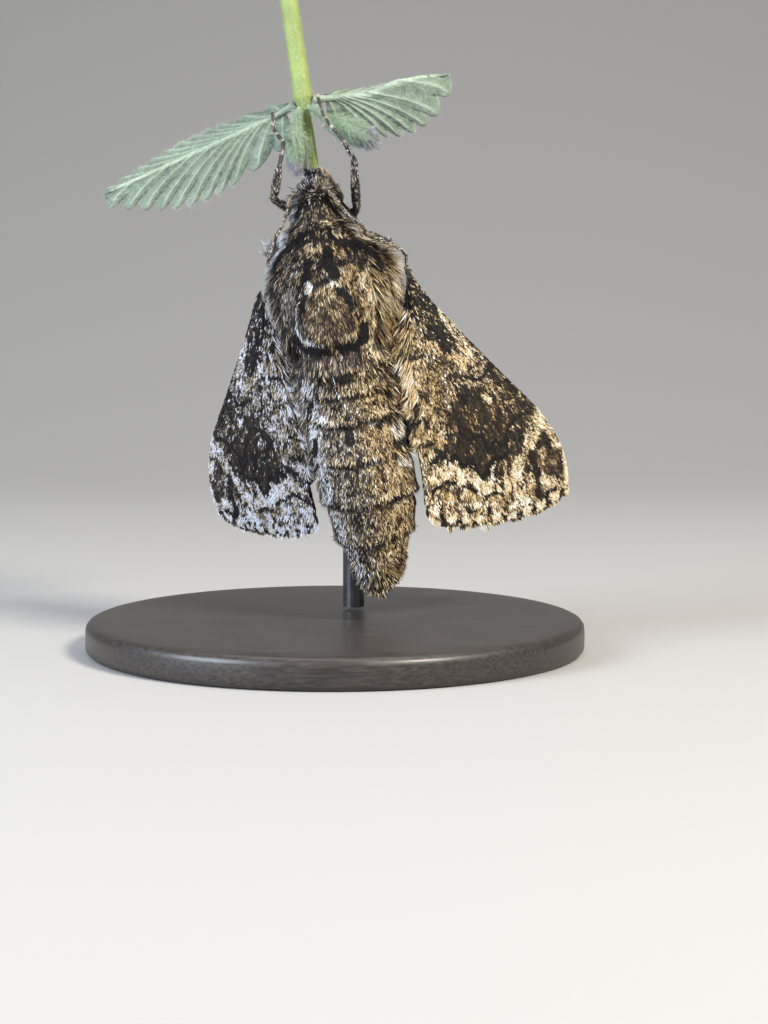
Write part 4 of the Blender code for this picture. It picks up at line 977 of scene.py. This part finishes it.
def wing_coat(name, membrane, kind, word, face, seed, count, long, wide):
    """Scales on one face of a wing, or its fringe, lying along the veins.

    The face is 1 for the upper one, -1 for the lower one and 0 for the fringe.
    """
    axes = WING_AXES[word]
    draw = np.random.default_rng(seed)
    up = axes[3] @ MOTH_AXES.T

    def density(centres, facing):
        tilt = facing @ up
        if face != 0:
            return soft_step(tilt * face, 0.2, 0.4)
        s, t = wing_places(centres, axes)
        too_far_in = soft_step(rim_gap(s, t, word), 0.4, 0.6) * (kind == "forewing")
        return at_margin(s, t, np.abs(tilt), kind) * (1 - too_far_in)

    roots, ups = scatter(membrane.data, count, draw, density)
    s, t = wing_places(roots, axes)
    ahead, aside, reach, turn = from_focus(s, t)
    ways = unit(ahead[:, None] * axes[1] + aside[:, None] * axes[2])
    ways = unit(ways + draw.normal(0.0, 0.14, ways.shape))
    near_root = (1 - soft_step(s, 3.0, 8.0)) * (1 - soft_step(t, 0.5, 3.0))
    lengths = long * draw.uniform(0.8, 1.2, count) * (1 + near_root)
    if face == 0:
        ups = np.broadcast_to(up, ups.shape)
        lengths = lengths * (1.0 - 0.2 * np.cos(2 * math.pi * t / FRINGE_PERIOD))
        lengths = lengths * (0.3 + 0.7 * soft_step(s - 0.1 * t, 20.6, 21.8))
    shift = 0.6 * lengths * (face != 0)
    mix = wing_mix(s + shift * np.cos(turn), t + shift * np.sin(turn), kind,
                   np.full(count, float(face >= 0)), np.full(count, float(face == 0)), word)
    streaks = 0.4 * ripple(reach * 1.1, turn * 44.0, seed) + 0.6 * ripple(reach * 2.2, turn * 104.0, seed + 1)
    # Painted light: the scales take their wing's warm or cool tint
    tints = drawn_tints(mix, streaks, draw, 0.62) * WING_PAINTED_LIGHT[word]
    widths = wide * draw.uniform(0.75, 1.25, count)
    lifts = (0.14 + 0.12 * near_root if face else 0.0) + draw.normal(0.0, 0.05, count)
    lay_coat(name, roots, ways @ MOTH_AXES.T, ups, lengths, widths, lifts, tints,
             np.column_stack((s, t)), widest=0.6, shades=(0.3, 1.0, 1.0, 1.15))


def inner_hair(name, membrane, word, seed, count, rear):
    """Long soft hair from the inner edge of a forewing, lying over the flank of the abdomen."""
    axes = WING_AXES[word]
    draw = np.random.default_rng(seed)
    up = axes[3] @ MOTH_AXES.T
    own_s, own_t = wing_places(mesh_arrays(membrane.data)[0], axes)
    bins = np.arange(0.0, 25.0, 0.5)
    edge = np.array([own_t[np.abs(own_s - b) < 0.6].min(initial=9.0) for b in bins])

    def density(centres, facing):
        s, t = wing_places(centres, axes)
        inwards = 1 - soft_step(t - np.interp(s, bins, edge), 0.1, 1.1)
        return inwards * soft_step(facing @ up, -0.3, 0.1) * between(s, (3.4, 4.4), (rear, rear + 1))

    roots, _ = scatter(membrane.data, count, draw, density)
    ups = np.broadcast_to(up, roots.shape)
    s, t = wing_places(roots, axes)
    lengths = np.interp(s, (3.0, 9.0, rear), (1.9, 1.6, 1.0)) * draw.uniform(0.6, 1.15, count)
    ways = unit(axes[1] - 0.75 * axes[2] + draw.normal(0.0, 0.2, roots.shape))
    seen = wing_places(roots + (ways @ MOTH_AXES.T) * (0.6 * lengths * MM)[:, None], axes)
    mix = wing_mix(*seen, "forewing", np.ones(count), np.zeros(count), word)
    for path, half_width, recipe in INNER_MARKS[word]:
        mix = mix_in(mix, near_path(*seen, path, half_width), recipe)
    tints = drawn_tints(mix, ripple(s * 2.2, t * 3.0, seed), draw, 0.6) * WING_PAINTED_LIGHT[word]
    lay_coat(name, roots, ways @ MOTH_AXES.T, ups, lengths,
             0.12 * draw.uniform(0.7, 1.3, count), draw.normal(0.0, 0.09, count), tints,
             np.column_stack((s, t)))


# Each coat's name, face, length and width, and its number of scales on either kind of wing
WING_COATS = (("scales_upper", 1, 0.48, 0.155), ("scales_lower", -1, 0.5, 0.2), ("fringe", 0, 0.8, 0.13))
SCALE_COUNTS = {"forewing": (32000, 11000, 2600), "hindwing": (6000, 7000, 2600)}
WING_SLOTS = {"forewing": "wing_scales", "hindwing": "hindwing_scales"}
seeds = itertools.count(40)
for word, wing_place in WING_AXES.items():
    for kind, slot in WING_SLOTS.items():
        membrane = thin_membrane(f"{kind}_membrane_{word}", f"{kind}_{word}")
        points, normals, _ = mesh_arrays(membrane.data)
        s, t = wing_places(points, wing_place)
        tilt = normals @ (wing_place[3] @ MOTH_AXES.T)
        mix = wing_mix(s, t, kind, soft_step(tilt, -0.2, 0.2), at_margin(s, t, np.abs(tilt), kind), word)
        # Painted shade and light: the membrane takes the wing's colours darkened as shade under the scales
        # and tinted with the wing's painted light
        dress(membrane, (f"{kind}_{word}",), skin_finish,
              SKIN_PAINTED_SHADE * (mix @ PALETTE) * WING_PAINTED_LIGHT[word])
        for (part, face, long, wide), count in zip(WING_COATS, SCALE_COUNTS[kind]):
            wing_coat(f"{kind}_{part}_{word}", membrane, kind, word, face, next(seeds), count, long, wide)
        if kind == "forewing":
            inner_hair(f"inner_hair_{word}", membrane, word, next(seeds), 3400, INNER_REAR[word])

# Legs: smooth skins in place of the solids, with short dark and pale scales that lie along each
# limb, and cream rings at the joints of the feet.
LEG_FOOT = 0.52
FOOT_JOINTS = 5
LEG_SCALES = (34, 30, 8, 0, 4, 10, 14)
FOOT_SCALES = (52, 32, 8, 0, 2, 2, 4)
KNEE_TUFT = {"leg_mid_left": (2.6, 4.6)}
SPUR_PLACE = (8.1, 8.9)
SPUR_SCALES = (0, 0, 30, 70, 0, 0)
LINE_STEP = 0.35 * MM
LEG_LONG = 0.42
FOOT_LONG = 0.2


def walk_from(mesh, start):
    """Distance of each point of a skin from the point nearest a start, over its edges and faces."""
    points = mesh_arrays(mesh)[0]
    near = [[] for _ in points]
    for face in mesh.polygons:
        for a, b in itertools.combinations(face.vertices, 2):
            gap = math.dist(points[a], points[b])
            near[a].append((gap, b))
            near[b].append((gap, a))
    walked = np.full(len(points), np.inf)
    first = int(np.argmin(np.linalg.norm(points - start, axis=1)))
    walked[first] = 0.0
    queue = [(0.0, first)]
    while queue:
        gone, here = heapq.heappop(queue)
        if gone > walked[here]:
            continue
        for gap, there in near[here]:
            if gone + gap < walked[there]:
                walked[there] = gone + gap
                heapq.heappush(queue, (gone + gap, there))
    walked[np.isinf(walked)] = 0.0
    return points, walked


def middle_line(points, walked, step):
    """The middle of a limb at even steps of the distance walked along it, and its way there."""
    slot_of = (walked / step).astype(int)
    counts = np.bincount(slot_of)
    line = np.stack([np.bincount(slot_of, points[:, k]) for k in range(3)], axis=1)
    line = line / np.maximum(counts, 1)[:, None]
    for _ in range(3):
        line[1:-1] = (line[:-2] + 2 * line[1:-1] + line[2:]) / 4
    return line, unit(np.gradient(line, axis=0))


class Limb:
    """A limb's skin with, at any place on it, how far along it lies and which way it runs."""

    def __init__(self, node, slot, voxel, depth, start):
        self.node = node
        self.slot = slot
        self.skin = grown_skin(f"{node}_skin", (node,), voxel, depth)
        self.points, walked = walk_from(self.skin.data, start)
        self.line, self.ways = middle_line(self.points, walked, LINE_STEP)
        self.length = len(self.line) - 1

    def places(self, points):
        """Share along the limb, angle round it and its way, at points on its skin."""
        chosen = np.empty(len(points), int)
        for low in range(0, len(points), 2000):
            block = points[low:low + 2000]
            gaps = np.linalg.norm(block[:, None] - self.line[None], axis=2)
            chosen[low:low + 2000] = np.argmin(gaps, axis=1)
        ways = self.ways[chosen]
        out = points - self.line[chosen]
        aside = np.cross(ways, MOTH_AXES[:, 1])
        angle = np.arctan2(np.sum(out * np.cross(ways, aside), axis=1), np.sum(out * aside, axis=1))
        return chosen / self.length, angle, ways

    def finish(self, mix_at, shade_under_coat, finish):
        """Paint the skin with the mix of the colours of its coat, darkened as painted shade under the coat.
        """
        share, angle, _ = self.places(self.points)
        colours = shade_under_coat * mix_at(share, angle, self.points) @ PALETTE
        dress(self.skin, (self.node,), finish, colours)

    def coat(self, mix_at, seed, count, long, wide, lift):
        """Scales over the skin, as long as a function of their places says."""
        draw = np.random.default_rng(seed)
        roots, ups = scatter(self.skin.data, count, draw)
        share, angle, ways = self.places(roots)
        tints = drawn_tints(mix_at(share, angle, roots), draw.random(count), draw)
        lengths = long(share, roots) * draw.uniform(0.7, 1.3, count)
        lifts = lift * draw.uniform(0.4, 1.6, count)
        lay_coat(f"{self.node}_scales", roots, ways + draw.normal(0.0, 0.15, ways.shape), ups,
                 lengths, wide * draw.uniform(0.7, 1.3, count), lifts, tints, np.column_stack((share, angle)))


limb_finish = tinted_finish("limb_skin", roughness=0.55, grain_scale=12000.0, grain=0.3, bump=0.5)
for name in ("leg_fore_left", "leg_fore_right", "leg_mid_left", "leg_mid_right", "leg_hind_left",
             "leg_hind_right"):
    corners = solid_points(name)
    off_axis = to_moth(corners)
    start = corners[np.argmin(np.hypot(off_axis[:, 0], off_axis[:, 1] - 1.0))]
    leg = Limb(name, "leg_scales", voxel=0.075, depth=0.045, start=start)

    def tuft_share(points):
        if name not in KNEE_TUFT:
            return np.zeros(len(points))
        low, high = KNEE_TUFT[name]
        return between(to_moth(points)[:, 2], (low, low + 0.4), (high, high + 0.4))

    def leg_mix(share, angle, points):
        mix = plain_mix(len(share), LEG_SCALES)
        foot = soft_step(share, LEG_FOOT, LEG_FOOT + 0.02)
        mix = mix_in(mix, foot, FOOT_SCALES)
        joint = (share - LEG_FOOT) / (1 - LEG_FOOT) * FOOT_JOINTS
        ring = foot * (1 - soft_step(np.abs(joint - np.round(joint)), 0.06, 0.12))
        mix = mix_in(mix, ring * 0.9, CREAMY)
        if name.startswith("leg_fore"):
            spur = between(to_moth(points)[:, 2], SPUR_PLACE, (SPUR_PLACE[1], SPUR_PLACE[1] + 0.3))
            mix = mix_in(mix, spur * (np.cos(angle) > 0.3), SPUR_SCALES)
        return mix_in(mix, tuft_share(points), WHITE)

    def leg_long(share, points):
        shorter = (LEG_LONG - FOOT_LONG) * soft_step(share, LEG_FOOT - 0.05, LEG_FOOT + 0.05)
        return LEG_LONG - shorter + 0.6 * tuft_share(points)

    leg.finish(leg_mix, shade_under_coat=0.7, finish=limb_finish)
    leg.coat(leg_mix, next(seeds), count=4200, long=leg_long, wide=0.085, lift=0.22)

# Feelers: ringed threads of cream and brown scales, laid back along the head and shoulders.
# Each has a thin skin in place of its solid and short scales that stand out from it.
FEELER_RINGS = 46
FEELER_SCALES = (18, 18, 14, 6, 24, 10, 10)
FEELER_LONG = 0.22
feeler_finish = tinted_finish("feeler_skin", roughness=0.5, grain_scale=15000.0, grain=0.2, bump=0.4)


def feeler_mix(share, angle, points):
    """Shares of the colours along a feeler, darker at its rings."""
    ring = soft_step(np.cos(2 * math.pi * share * FEELER_RINGS), 0.2, 0.6)
    return mix_in(plain_mix(len(share), FEELER_SCALES), ring * 0.6, UMBER)


for node in ("antenna_left", "antenna_right"):
    corners = solid_points(node)
    start = corners[np.argmax(to_moth(corners)[:, 2])]
    feeler = Limb(node, "feeler", voxel=0.055, depth=0.1, start=start)
    feeler.finish(feeler_mix, shade_under_coat=0.4, finish=feeler_finish)
    feeler.coat(feeler_mix, next(seeds), count=3600, wide=0.075, lift=0.4,
                long=lambda share, points: np.full(len(share), FEELER_LONG))

# Tongue: a thin brown tube, rolled up in a coil between the palps. Its smooth skin is grown
# from the solid and has a fine grain as its relief.
coil = grown_skin("proboscis_skin", ("proboscis",), voxel=0.06, depth=0.0)
coil_finish = tinted_finish("tongue", roughness=0.35, grain_scale=6000.0, grain=0.3, bump=0.8)
coil_colours = np.broadcast_to(PALETTE[2] * 0.8, (len(coil.data.vertices), 3))
dress(coil, ("proboscis",), coil_finish, coil_colours)

# Eyes: smooth dark domes with fine facets, in place of the solids' plain ones. The facets are
# cells in the finish, brown in their middles, under a clear glossy coat.


def tone_ramp(nodes, ends):
    """A ramp between two tones, each given with its place on the ramp."""
    ramp = nodes.new("ShaderNodeValToRGB")
    for element, (place, colour) in zip(ramp.color_ramp.elements, ends):
        element.position = place
        element.color = (*colour, 1)
    return ramp


eye_finish, eye_nodes, eye_links, eye_shader = shader_material("eye_facets")
set_sockets(eye_shader, {"Roughness": 0.12, "Coat Weight": 0.6, "Coat Roughness": 0.05})
eye_place = eye_nodes.new("ShaderNodeTexCoord")
facets = add_node(eye_nodes, "ShaderNodeTexVoronoi", {"Scale": 11000.0})
facet_tone = tone_ramp(eye_nodes, ((0.0, (0.030, 0.016, 0.010)), (1.0, (0.008, 0.005, 0.004))))
facet_bump = add_node(eye_nodes, "ShaderNodeBump", {"Strength": 0.5, "Distance": 0.00005})
facet_bump.invert = True
wire(eye_links, (eye_place, "Object", facets, "Vector"), (facets, "Distance", facet_tone, "Fac"),
     (facet_tone, "Color", eye_shader, "Base Color"), (facets, "Distance", facet_bump, "Height"),
     (facet_bump, "Normal", eye_shader, "Normal"))
for word in ("left", "right"):
    eye = grown_skin(f"eye_dome_{word}", (f"eye_{word}",), voxel=0.07, depth=0.0, rounds=6)
    dress(eye, (f"eye_{word}",), eye_finish)

# Stem: a square green mint stem with fine white down that points down it.
# Its skin is grown from the solid and toned in soft blotches.
STEM_GREEN = np.array((0.24, 0.31, 0.09))
DOWN_WHITE = np.array((0.50, 0.56, 0.50))
# Painted shade on the plants' hairs: a little darker at the root
DOWN_SHADES = (0.75, 0.95, 0.95, 1.0)
plant_finish = tinted_finish("leaf_skin", roughness=0.6, grain_scale=2600.0, grain=0.12, bump=0.5)
down_finish = tinted_finish("plant_down", roughness=0.7, grain_scale=3000.0, grain=0.1, bump=0.0)


def down_over(name, skin, seed, count, way, long, wide, lift, colour_at, density=None):
    """Fine single hairs over a plant's skin."""
    draw = np.random.default_rng(seed)
    roots, ups = scatter(skin.data, count, draw, density)
    p = to_moth(roots)
    ways = np.broadcast_to(np.array(way) @ MOTH_AXES.T, roots.shape) + draw.normal(0.0, 0.5, roots.shape)
    tints = colour_at(p) * draw.uniform(0.85, 1.1, count)[:, None]
    angle = np.arctan2(ups[:, 1], ups[:, 0])
    lay_coat(name, roots, ways, ups, long * draw.uniform(0.6, 1.3, count), wide,
             lift * draw.uniform(0.5, 1.5, count), tints, np.column_stack((p[:, 0] + p[:, 2], angle)),
             down_finish, shades=DOWN_SHADES)


def white_down(p):
    """The same white for every hair of the stem and leaves."""
    return np.broadcast_to(DOWN_WHITE, p.shape)


stem = grown_skin("stem_skin", ("perch_stem",), voxel=0.11, depth=0.0)
stem_points = mesh_arrays(stem.data)[0]
stem_z = to_moth(stem_points)[:, 2]
stem_tone = 0.85 + 0.3 * ripple(stem_z * 0.8, stem_points[:, 0] * 900, 61)
dress(stem, ("perch_stem",), plant_finish, STEM_GREEN * stem_tone[:, None])
down_over("stem_down", stem, next(seeds), count=2400, way=(0.0, 0.0, -1.0), long=0.32,
          wide=0.02, lift=0.8, colour_at=white_down)

# Leaves: crinkled downy blades whose raised pale veins run out to the teeth, on short stalks.
# Each blade is a closed sheet bent along its midrib, with a net of fine veins in its finish.
LEAF_DEEP = np.array((0.050, 0.080, 0.052))
LEAF_PALE = np.array((0.30, 0.37, 0.28))
LEAVES = {
    "left": {"stalk": 16.9, "base": (-4.2, 7.9, 16.4), "tip": (-23.0, 7.2, 11.4), "width": 4.3,
             "folds": (62.0, -4.0), "teeth": 11, "curl": 0.0, "slant": 22.0, "hairs": 4200},
    "right": {"stalk": 17.1, "base": (-0.2, 7.9, 17.0), "tip": (11.2, 10.4, 16.1), "width": 3.7,
              "folds": (74.0, 4.0), "teeth": 8, "curl": 1.3, "slant": 34.0, "hairs": 2600},
}
LEAF_TOOTH = 1.0
LEAF_HALF_THICK = 0.11
STEM_PLACE = (-2.2, 7.4)
STEM_REACH = 0.88
STALK_LAP = 1.6
VEIN_WIDE = 0.055
RIB_WIDE = 0.14

# The fine net of veins: pale raised lines between small cells of the blade
net_finish = tinted_finish("leaf_net", roughness=0.6, grain_scale=2600.0, grain=0.14, bump=0.6)
net_nodes, net_links = net_finish.node_tree.nodes, net_finish.node_tree.links
net_shader = net_nodes["Principled BSDF"]
net_place = net_nodes.new("ShaderNodeTexCoord")
net_cells = add_node(net_nodes, "ShaderNodeTexVoronoi", {"Scale": 1900.0})
net_cells.feature = "DISTANCE_TO_EDGE"
net_line = add_node(net_nodes, "ShaderNodeMapRange", {"From Max": 0.07, "To Min": 0.4, "To Max": 0.0})
net_tone = net_nodes.new("ShaderNodeMix")
net_tone.data_type = "RGBA"
net_tone.inputs[7].default_value = (*LEAF_PALE, 1.0)
net_bump = add_node(net_nodes, "ShaderNodeBump", {"Strength": 0.7, "Distance": 0.00012})
net_links.new(net_shader.inputs["Base Color"].links[0].from_socket, net_tone.inputs[6])
net_links.new(net_shader.inputs["Normal"].links[0].from_socket, net_bump.inputs["Normal"])
wire(net_links, (net_place, "Object", net_cells, "Vector"), (net_cells, "Distance", net_line, "Value"),
     (net_line, "Result", net_tone, 0), (net_tone, 2, net_shader, "Base Color"),
     (net_line, "Result", net_bump, "Height"), (net_bump, "Normal", net_shader, "Normal"))


def closed_mesh(name, shells):
    """One object from closed shells of points in the moth's frame and their faces."""
    points, faces = [], []
    for shell_points, shell_faces in shells:
        faces += [tuple(len(points) + k for k in face) for face in shell_faces]
        points += list(np.array(shell_points) @ MOTH_AXES.T * MM + MOTH_PLACE)
    mesh = bpy.data.meshes.new(name)
    mesh.from_pydata([tuple(p) for p in points], [], faces)
    shaped = bmesh.new()
    shaped.from_mesh(mesh)
    bmesh.ops.recalc_face_normals(shaped, faces=shaped.faces)
    shaped.to_mesh(mesh)
    shaped.free()
    mesh.polygons.foreach_set("use_smooth", [True] * len(mesh.polygons))
    return put_in_scene(name, mesh)


def leaf_sheet(plan):
    """Points, tones and faces of a blade: rows run out along its slanting veins, columns along it."""
    base, tip = np.array(plan["base"]), np.array(plan["tip"])
    length = np.linalg.norm(tip - base)
    axis = (tip - base) / length
    facing = np.array((0.0, -1.0, 0.0))
    upper = np.cross(axis, facing)
    upper = upper / np.linalg.norm(upper) * (1 if upper[2] > 0 else -1)
    facing = unit((facing - axis * (facing @ axis))[None])[0]
    a = np.linspace(0, 1, plan["teeth"] * 14 + 1)[:, None]
    v = np.linspace(-1, 1, 41)[None, :]
    far = np.abs(v)
    half = plan["width"] * np.sin(math.pi * np.minimum(a * 0.86 + 0.13, 1.0)) ** 0.8 * (1 - 0.25 * a)
    half = np.maximum(half, 0.34)
    edge_run = a * length + 0.16 * length * (1 - a) * soft_step(a, 0.0, 0.25)
    rib_run = edge_run ** 2 / (edge_run + plan["slant"] * half / plan["width"] + 1e-6)
    wave = np.abs(np.sin(math.pi * plan["teeth"] * a))
    run = rib_run + (edge_run - rib_run) * far ** 0.68 + 0.6 * LEAF_TOOTH * (wave ** 0.7 - 0.35) * far ** 5
    out = half * v + np.sign(v) * LEAF_TOOTH * (wave ** 0.7 - 0.35) * far ** 5 * soft_step(a, 0.0, 0.06)
    fold = np.radians(np.where(v > 0, plan["folds"][0], plan["folds"][1]))
    phase = np.abs((plan["teeth"] * a) % 1.0 - 0.5)
    vein = hump(phase, 1.0, 0.0, VEIN_WIDE) * soft_step(1 - far, 0.0, 0.15)
    rib = hump(far * half, 1.0, 0.0, RIB_WIDE)
    lift = (-0.08 + 0.18 * wave ** 1.5) * far ** 0.7 * (1 - 0.4 * a)
    middle = (base + run[..., None] * axis + (out * np.cos(fold))[..., None] * upper
              + (lift - np.abs(out) * np.sin(fold))[..., None] * facing
              + (plan["curl"] * soft_step(a, 0.75, 1.0))[..., None] * upper)
    normal = np.cross(np.gradient(middle, axis=0), np.gradient(middle, axis=1))
    normal = normal / np.maximum(np.linalg.norm(normal, axis=2), 1e-9)[..., None]
    normal = normal * np.sign((normal @ facing).mean())
    puckers = ripple(run * 2.6, out * 2.9, 64) - 0.5
    rise = 0.10 * vein + 0.14 * rib + 0.10 * puckers
    thin = LEAF_HALF_THICK * (1 - 0.5 * far ** 4)
    above = middle + normal * (thin + rise)[..., None]
    below = middle - normal * (thin + 0.5 * rise)[..., None]
    # Besides the pale veins, ribs and edge, the blade is painted darker in the hollows between the veins and
    # in the dips of its puckers: painted shade
    pale = 0.22 + 0.16 * wave ** 1.5 + 0.62 * vein + 0.75 * rib
    pale = pale + 0.4 * soft_step(far, 0.95, 1.0) + 0.3 * puckers
    pale = np.clip(pale, 0, 1)
    rows, columns = pale.shape
    index = np.arange(rows * columns).reshape(rows, columns)
    quads = np.stack((index[:-1, :-1], index[1:, :-1], index[1:, 1:], index[:-1, 1:]), axis=-1).reshape(-1, 4)
    loop = np.concatenate((index[0, :-1], index[:-1, -1], index[-1, :0:-1], index[:0:-1, 0]))
    other = rows * columns
    faces = [tuple(q) for q in quads] + [tuple(other + q[::-1]) for q in quads]
    faces += [(a, b, b + other, a + other) for a, b in zip(loop, np.roll(loop, -1))]
    return (np.concatenate((above.reshape(-1, 3), below.reshape(-1, 3))), np.tile(pale.ravel(), 2),
            [tuple(int(k) for k in f) for f in faces])


def tube_faces(rings, sides):
    """Faces between the rings of points of a tube."""
    return [(ring + k, ring + (k + 1) % sides, ring + sides + (k + 1) % sides, ring + sides + k)
            for ring in range(0, (rings - 1) * sides, sides) for k in range(sides)]


def stalk_tube(start, end, first, last, sides=14, rings=9):
    """Points and faces of a tapered round stalk."""
    way = unit((end - start)[None])[0]
    aside = np.cross(way, (0.0, 1.0, 0.0))
    across = np.cross(way, aside)
    points = []
    for share in np.linspace(0, 1, rings):
        radius = first + (last - first) * share
        points += [start + (end - start) * share + radius * (math.cos(a) * aside + math.sin(a) * across)
                   for a in np.linspace(0, 2 * math.pi, sides, endpoint=False)]
    ends = [tuple(range(sides)), tuple(range((rings - 1) * sides, rings * sides))]
    return points, tube_faces(rings, sides) + ends


for word, plan in LEAVES.items():
    sheet_points, pale, sheet_faces = leaf_sheet(plan)
    base, tip = np.array(plan["base"]), np.array(plan["tip"])
    axis = unit((tip - base)[None])[0]
    way = np.array((math.copysign(1.0, axis[0]), 0.0, 0.0))
    joint = np.array((*STEM_PLACE, plan["stalk"])) + STEM_REACH * way
    stalk = stalk_tube(joint, base + axis * STALK_LAP, first=0.42, last=0.2)
    blade = closed_mesh(f"leaf_{word}", ((sheet_points, sheet_faces), stalk))
    pale = np.concatenate((pale, np.full(len(stalk[0]), 0.75)))
    points = mesh_arrays(blade.data)[0]
    mottle = 0.85 + 0.3 * ripple(points[:, 0] * 500, points[:, 2] * 500, 63)
    tone = (LEAF_DEEP + (LEAF_PALE - LEAF_DEEP) * pale[:, None]) * mottle[:, None]
    dress(blade, (f"perch_leaf_{word}",), net_finish, tone)

    def rim_first(centres, facing):
        local = to_moth(centres) - base
        apart = np.linalg.norm(local - (local @ axis)[:, None] * axis, axis=1) / plan["width"]
        return 0.12 + 3.0 * soft_step(apart, 0.8, 1.0)

    down_over(f"leaf_down_{word}", blade, next(seeds), plan["hairs"], axis, long=0.26,
              wide=0.018, lift=0.8, colour_at=white_down, density=rim_first)

# Buds: small downy clusters in the leaf axils, green at the neck and lilac at the tip.
# Each is a skin grown from its solid, under long soft hairs that run towards its tip.
BUD_GREEN = np.array((0.24, 0.35, 0.21))
LILAC = np.array((0.28, 0.19, 0.37))
BUDS = {"left": ((-2.95, 6.0, 15.0), (-3.3, 5.9, 10.4)), "right": ((-0.1, 6.5, 14.9), (4.6, 6.9, 12.2))}
for word, (neck, tip) in BUDS.items():
    bud = grown_skin(f"bud_{word}", (f"perch_bud_{word}",), voxel=0.07, depth=0.03)
    neck, tip = np.array(neck), np.array(tip)
    way = (tip - neck) / np.linalg.norm(tip - neck)

    def bud_tone(p):
        share = (p - neck) @ way / np.linalg.norm(tip - neck)
        lilac = soft_step(share + 0.35 * (ripple(p[:, 0] * 2, p[:, 2] * 2, 71) - 0.5), 0.5, 0.95)
        return BUD_GREEN + (LILAC - BUD_GREEN) * lilac[:, None] * 0.85

    bud_points = mesh_arrays(bud.data)[0]
    dress(bud, (f"perch_bud_{word}",), plant_finish, bud_tone(to_moth(bud_points)))
    down_over(f"bud_hairs_{word}", bud, next(seeds), 6000, way, long=0.85, wide=0.035,
              lift=0.3, colour_at=lambda p: 0.8 * bud_tone(p) + 0.28 * DOWN_WHITE)

# Stand's base: a turned disc of black-stained wood with its grain showing, rounded at the rim.
# It is the profile below, in mm, turned about the upright axis, and takes the solid disc's place.
BASE_PROFILE = ((0.0, 0.0), (22.4, 0.0), (22.7, 0.08), (22.92, 0.3), (23.0, 0.6), (23.0, 2.1), (22.93, 2.45),
                (22.72, 2.72), (22.4, 2.87), (21.9, 2.94), (21.2, 2.97), (20.6, 3.0), (0.0, 3.0))
BASE_SIDES = 160
base_points = [(r * MM * math.cos(a), r * MM * math.sin(a), z * MM) for r, z in BASE_PROFILE[1:-1]
               for a in np.linspace(0, 2 * math.pi, BASE_SIDES, endpoint=False)]
base_faces = tube_faces(len(BASE_PROFILE) - 2, BASE_SIDES)
base_faces.append(tuple(reversed(range(BASE_SIDES))))
base_faces.append(tuple(range(len(base_points) - BASE_SIDES, len(base_points))))
base_mesh = bpy.data.meshes.new("turned_base")
base_mesh.from_pydata(base_points, [], base_faces)
base_mesh.polygons.foreach_set("use_smooth", [len(f) == 4 for f in base_faces])
turned_base = put_in_scene("turned_base", base_mesh)
wood, wood_nodes, wood_links, wood_shader = shader_material("stained_wood")
set_sockets(wood_shader, {"Coat Weight": 0.25, "Coat Roughness": 0.25})
wood_place = wood_nodes.new("ShaderNodeTexCoord")
wood_stretch = add_node(wood_nodes, "ShaderNodeMapping", {"Scale": (60.0, 900.0, 900.0)})
wood_grain = add_node(wood_nodes, "ShaderNodeTexNoise", {"Detail": 6.0, "Distortion": 0.6})
wood_tone = tone_ramp(wood_nodes, ((0.35, (0.012, 0.010, 0.009)), (0.75, (0.050, 0.040, 0.032))))
wood_rough = add_node(wood_nodes, "ShaderNodeMapRange", {"To Min": 0.38, "To Max": 0.58})
wood_bump = add_node(wood_nodes, "ShaderNodeBump", {"Strength": 0.25, "Distance": 0.0001})
wire(wood_links, (wood_place, "Object", wood_stretch, "Vector"),
     (wood_stretch, "Vector", wood_grain, "Vector"), (wood_grain, "Fac", wood_tone, "Fac"),
     (wood_tone, "Color", wood_shader, "Base Color"), (wood_grain, "Fac", wood_rough, "Value"),
     (wood_rough, "Result", wood_shader, "Roughness"), (wood_grain, "Fac", wood_bump, "Height"),
     (wood_bump, "Normal", wood_shader, "Normal"))
dress(turned_base, ("stand_base",), wood)

# Stand's rod: a slim rod of blackened steel that carries the stem. The solid is smooth already,
# so it stays and only takes the finish.
steel, steel_nodes, steel_links, steel_shader = shader_material("blackened_steel")
set_sockets(steel_shader, {"Metallic": 0.8})
steel_place = steel_nodes.new("ShaderNodeTexCoord")
steel_grain = add_node(steel_nodes, "ShaderNodeTexNoise", {"Scale": 1500.0})
steel_tone = tone_ramp(steel_nodes, ((0.0, (0.035, 0.035, 0.037)), (1.0, (0.10, 0.10, 0.105))))
steel_rough = add_node(steel_nodes, "ShaderNodeMapRange", {"To Min": 0.28, "To Max": 0.5})
wire(steel_links, (steel_place, "Object", steel_grain, "Vector"), (steel_grain, "Fac", steel_tone, "Fac"),
     (steel_tone, "Color", steel_shader, "Base Color"), (steel_grain, "Fac", steel_rough, "Value"),
     (steel_rough, "Result", steel_shader, "Roughness"))
rod = bpy.data.objects["stand_rod"]
for material_slot in rod.material_slots:
    material_slot.link = "OBJECT"
    material_slot.material = steel
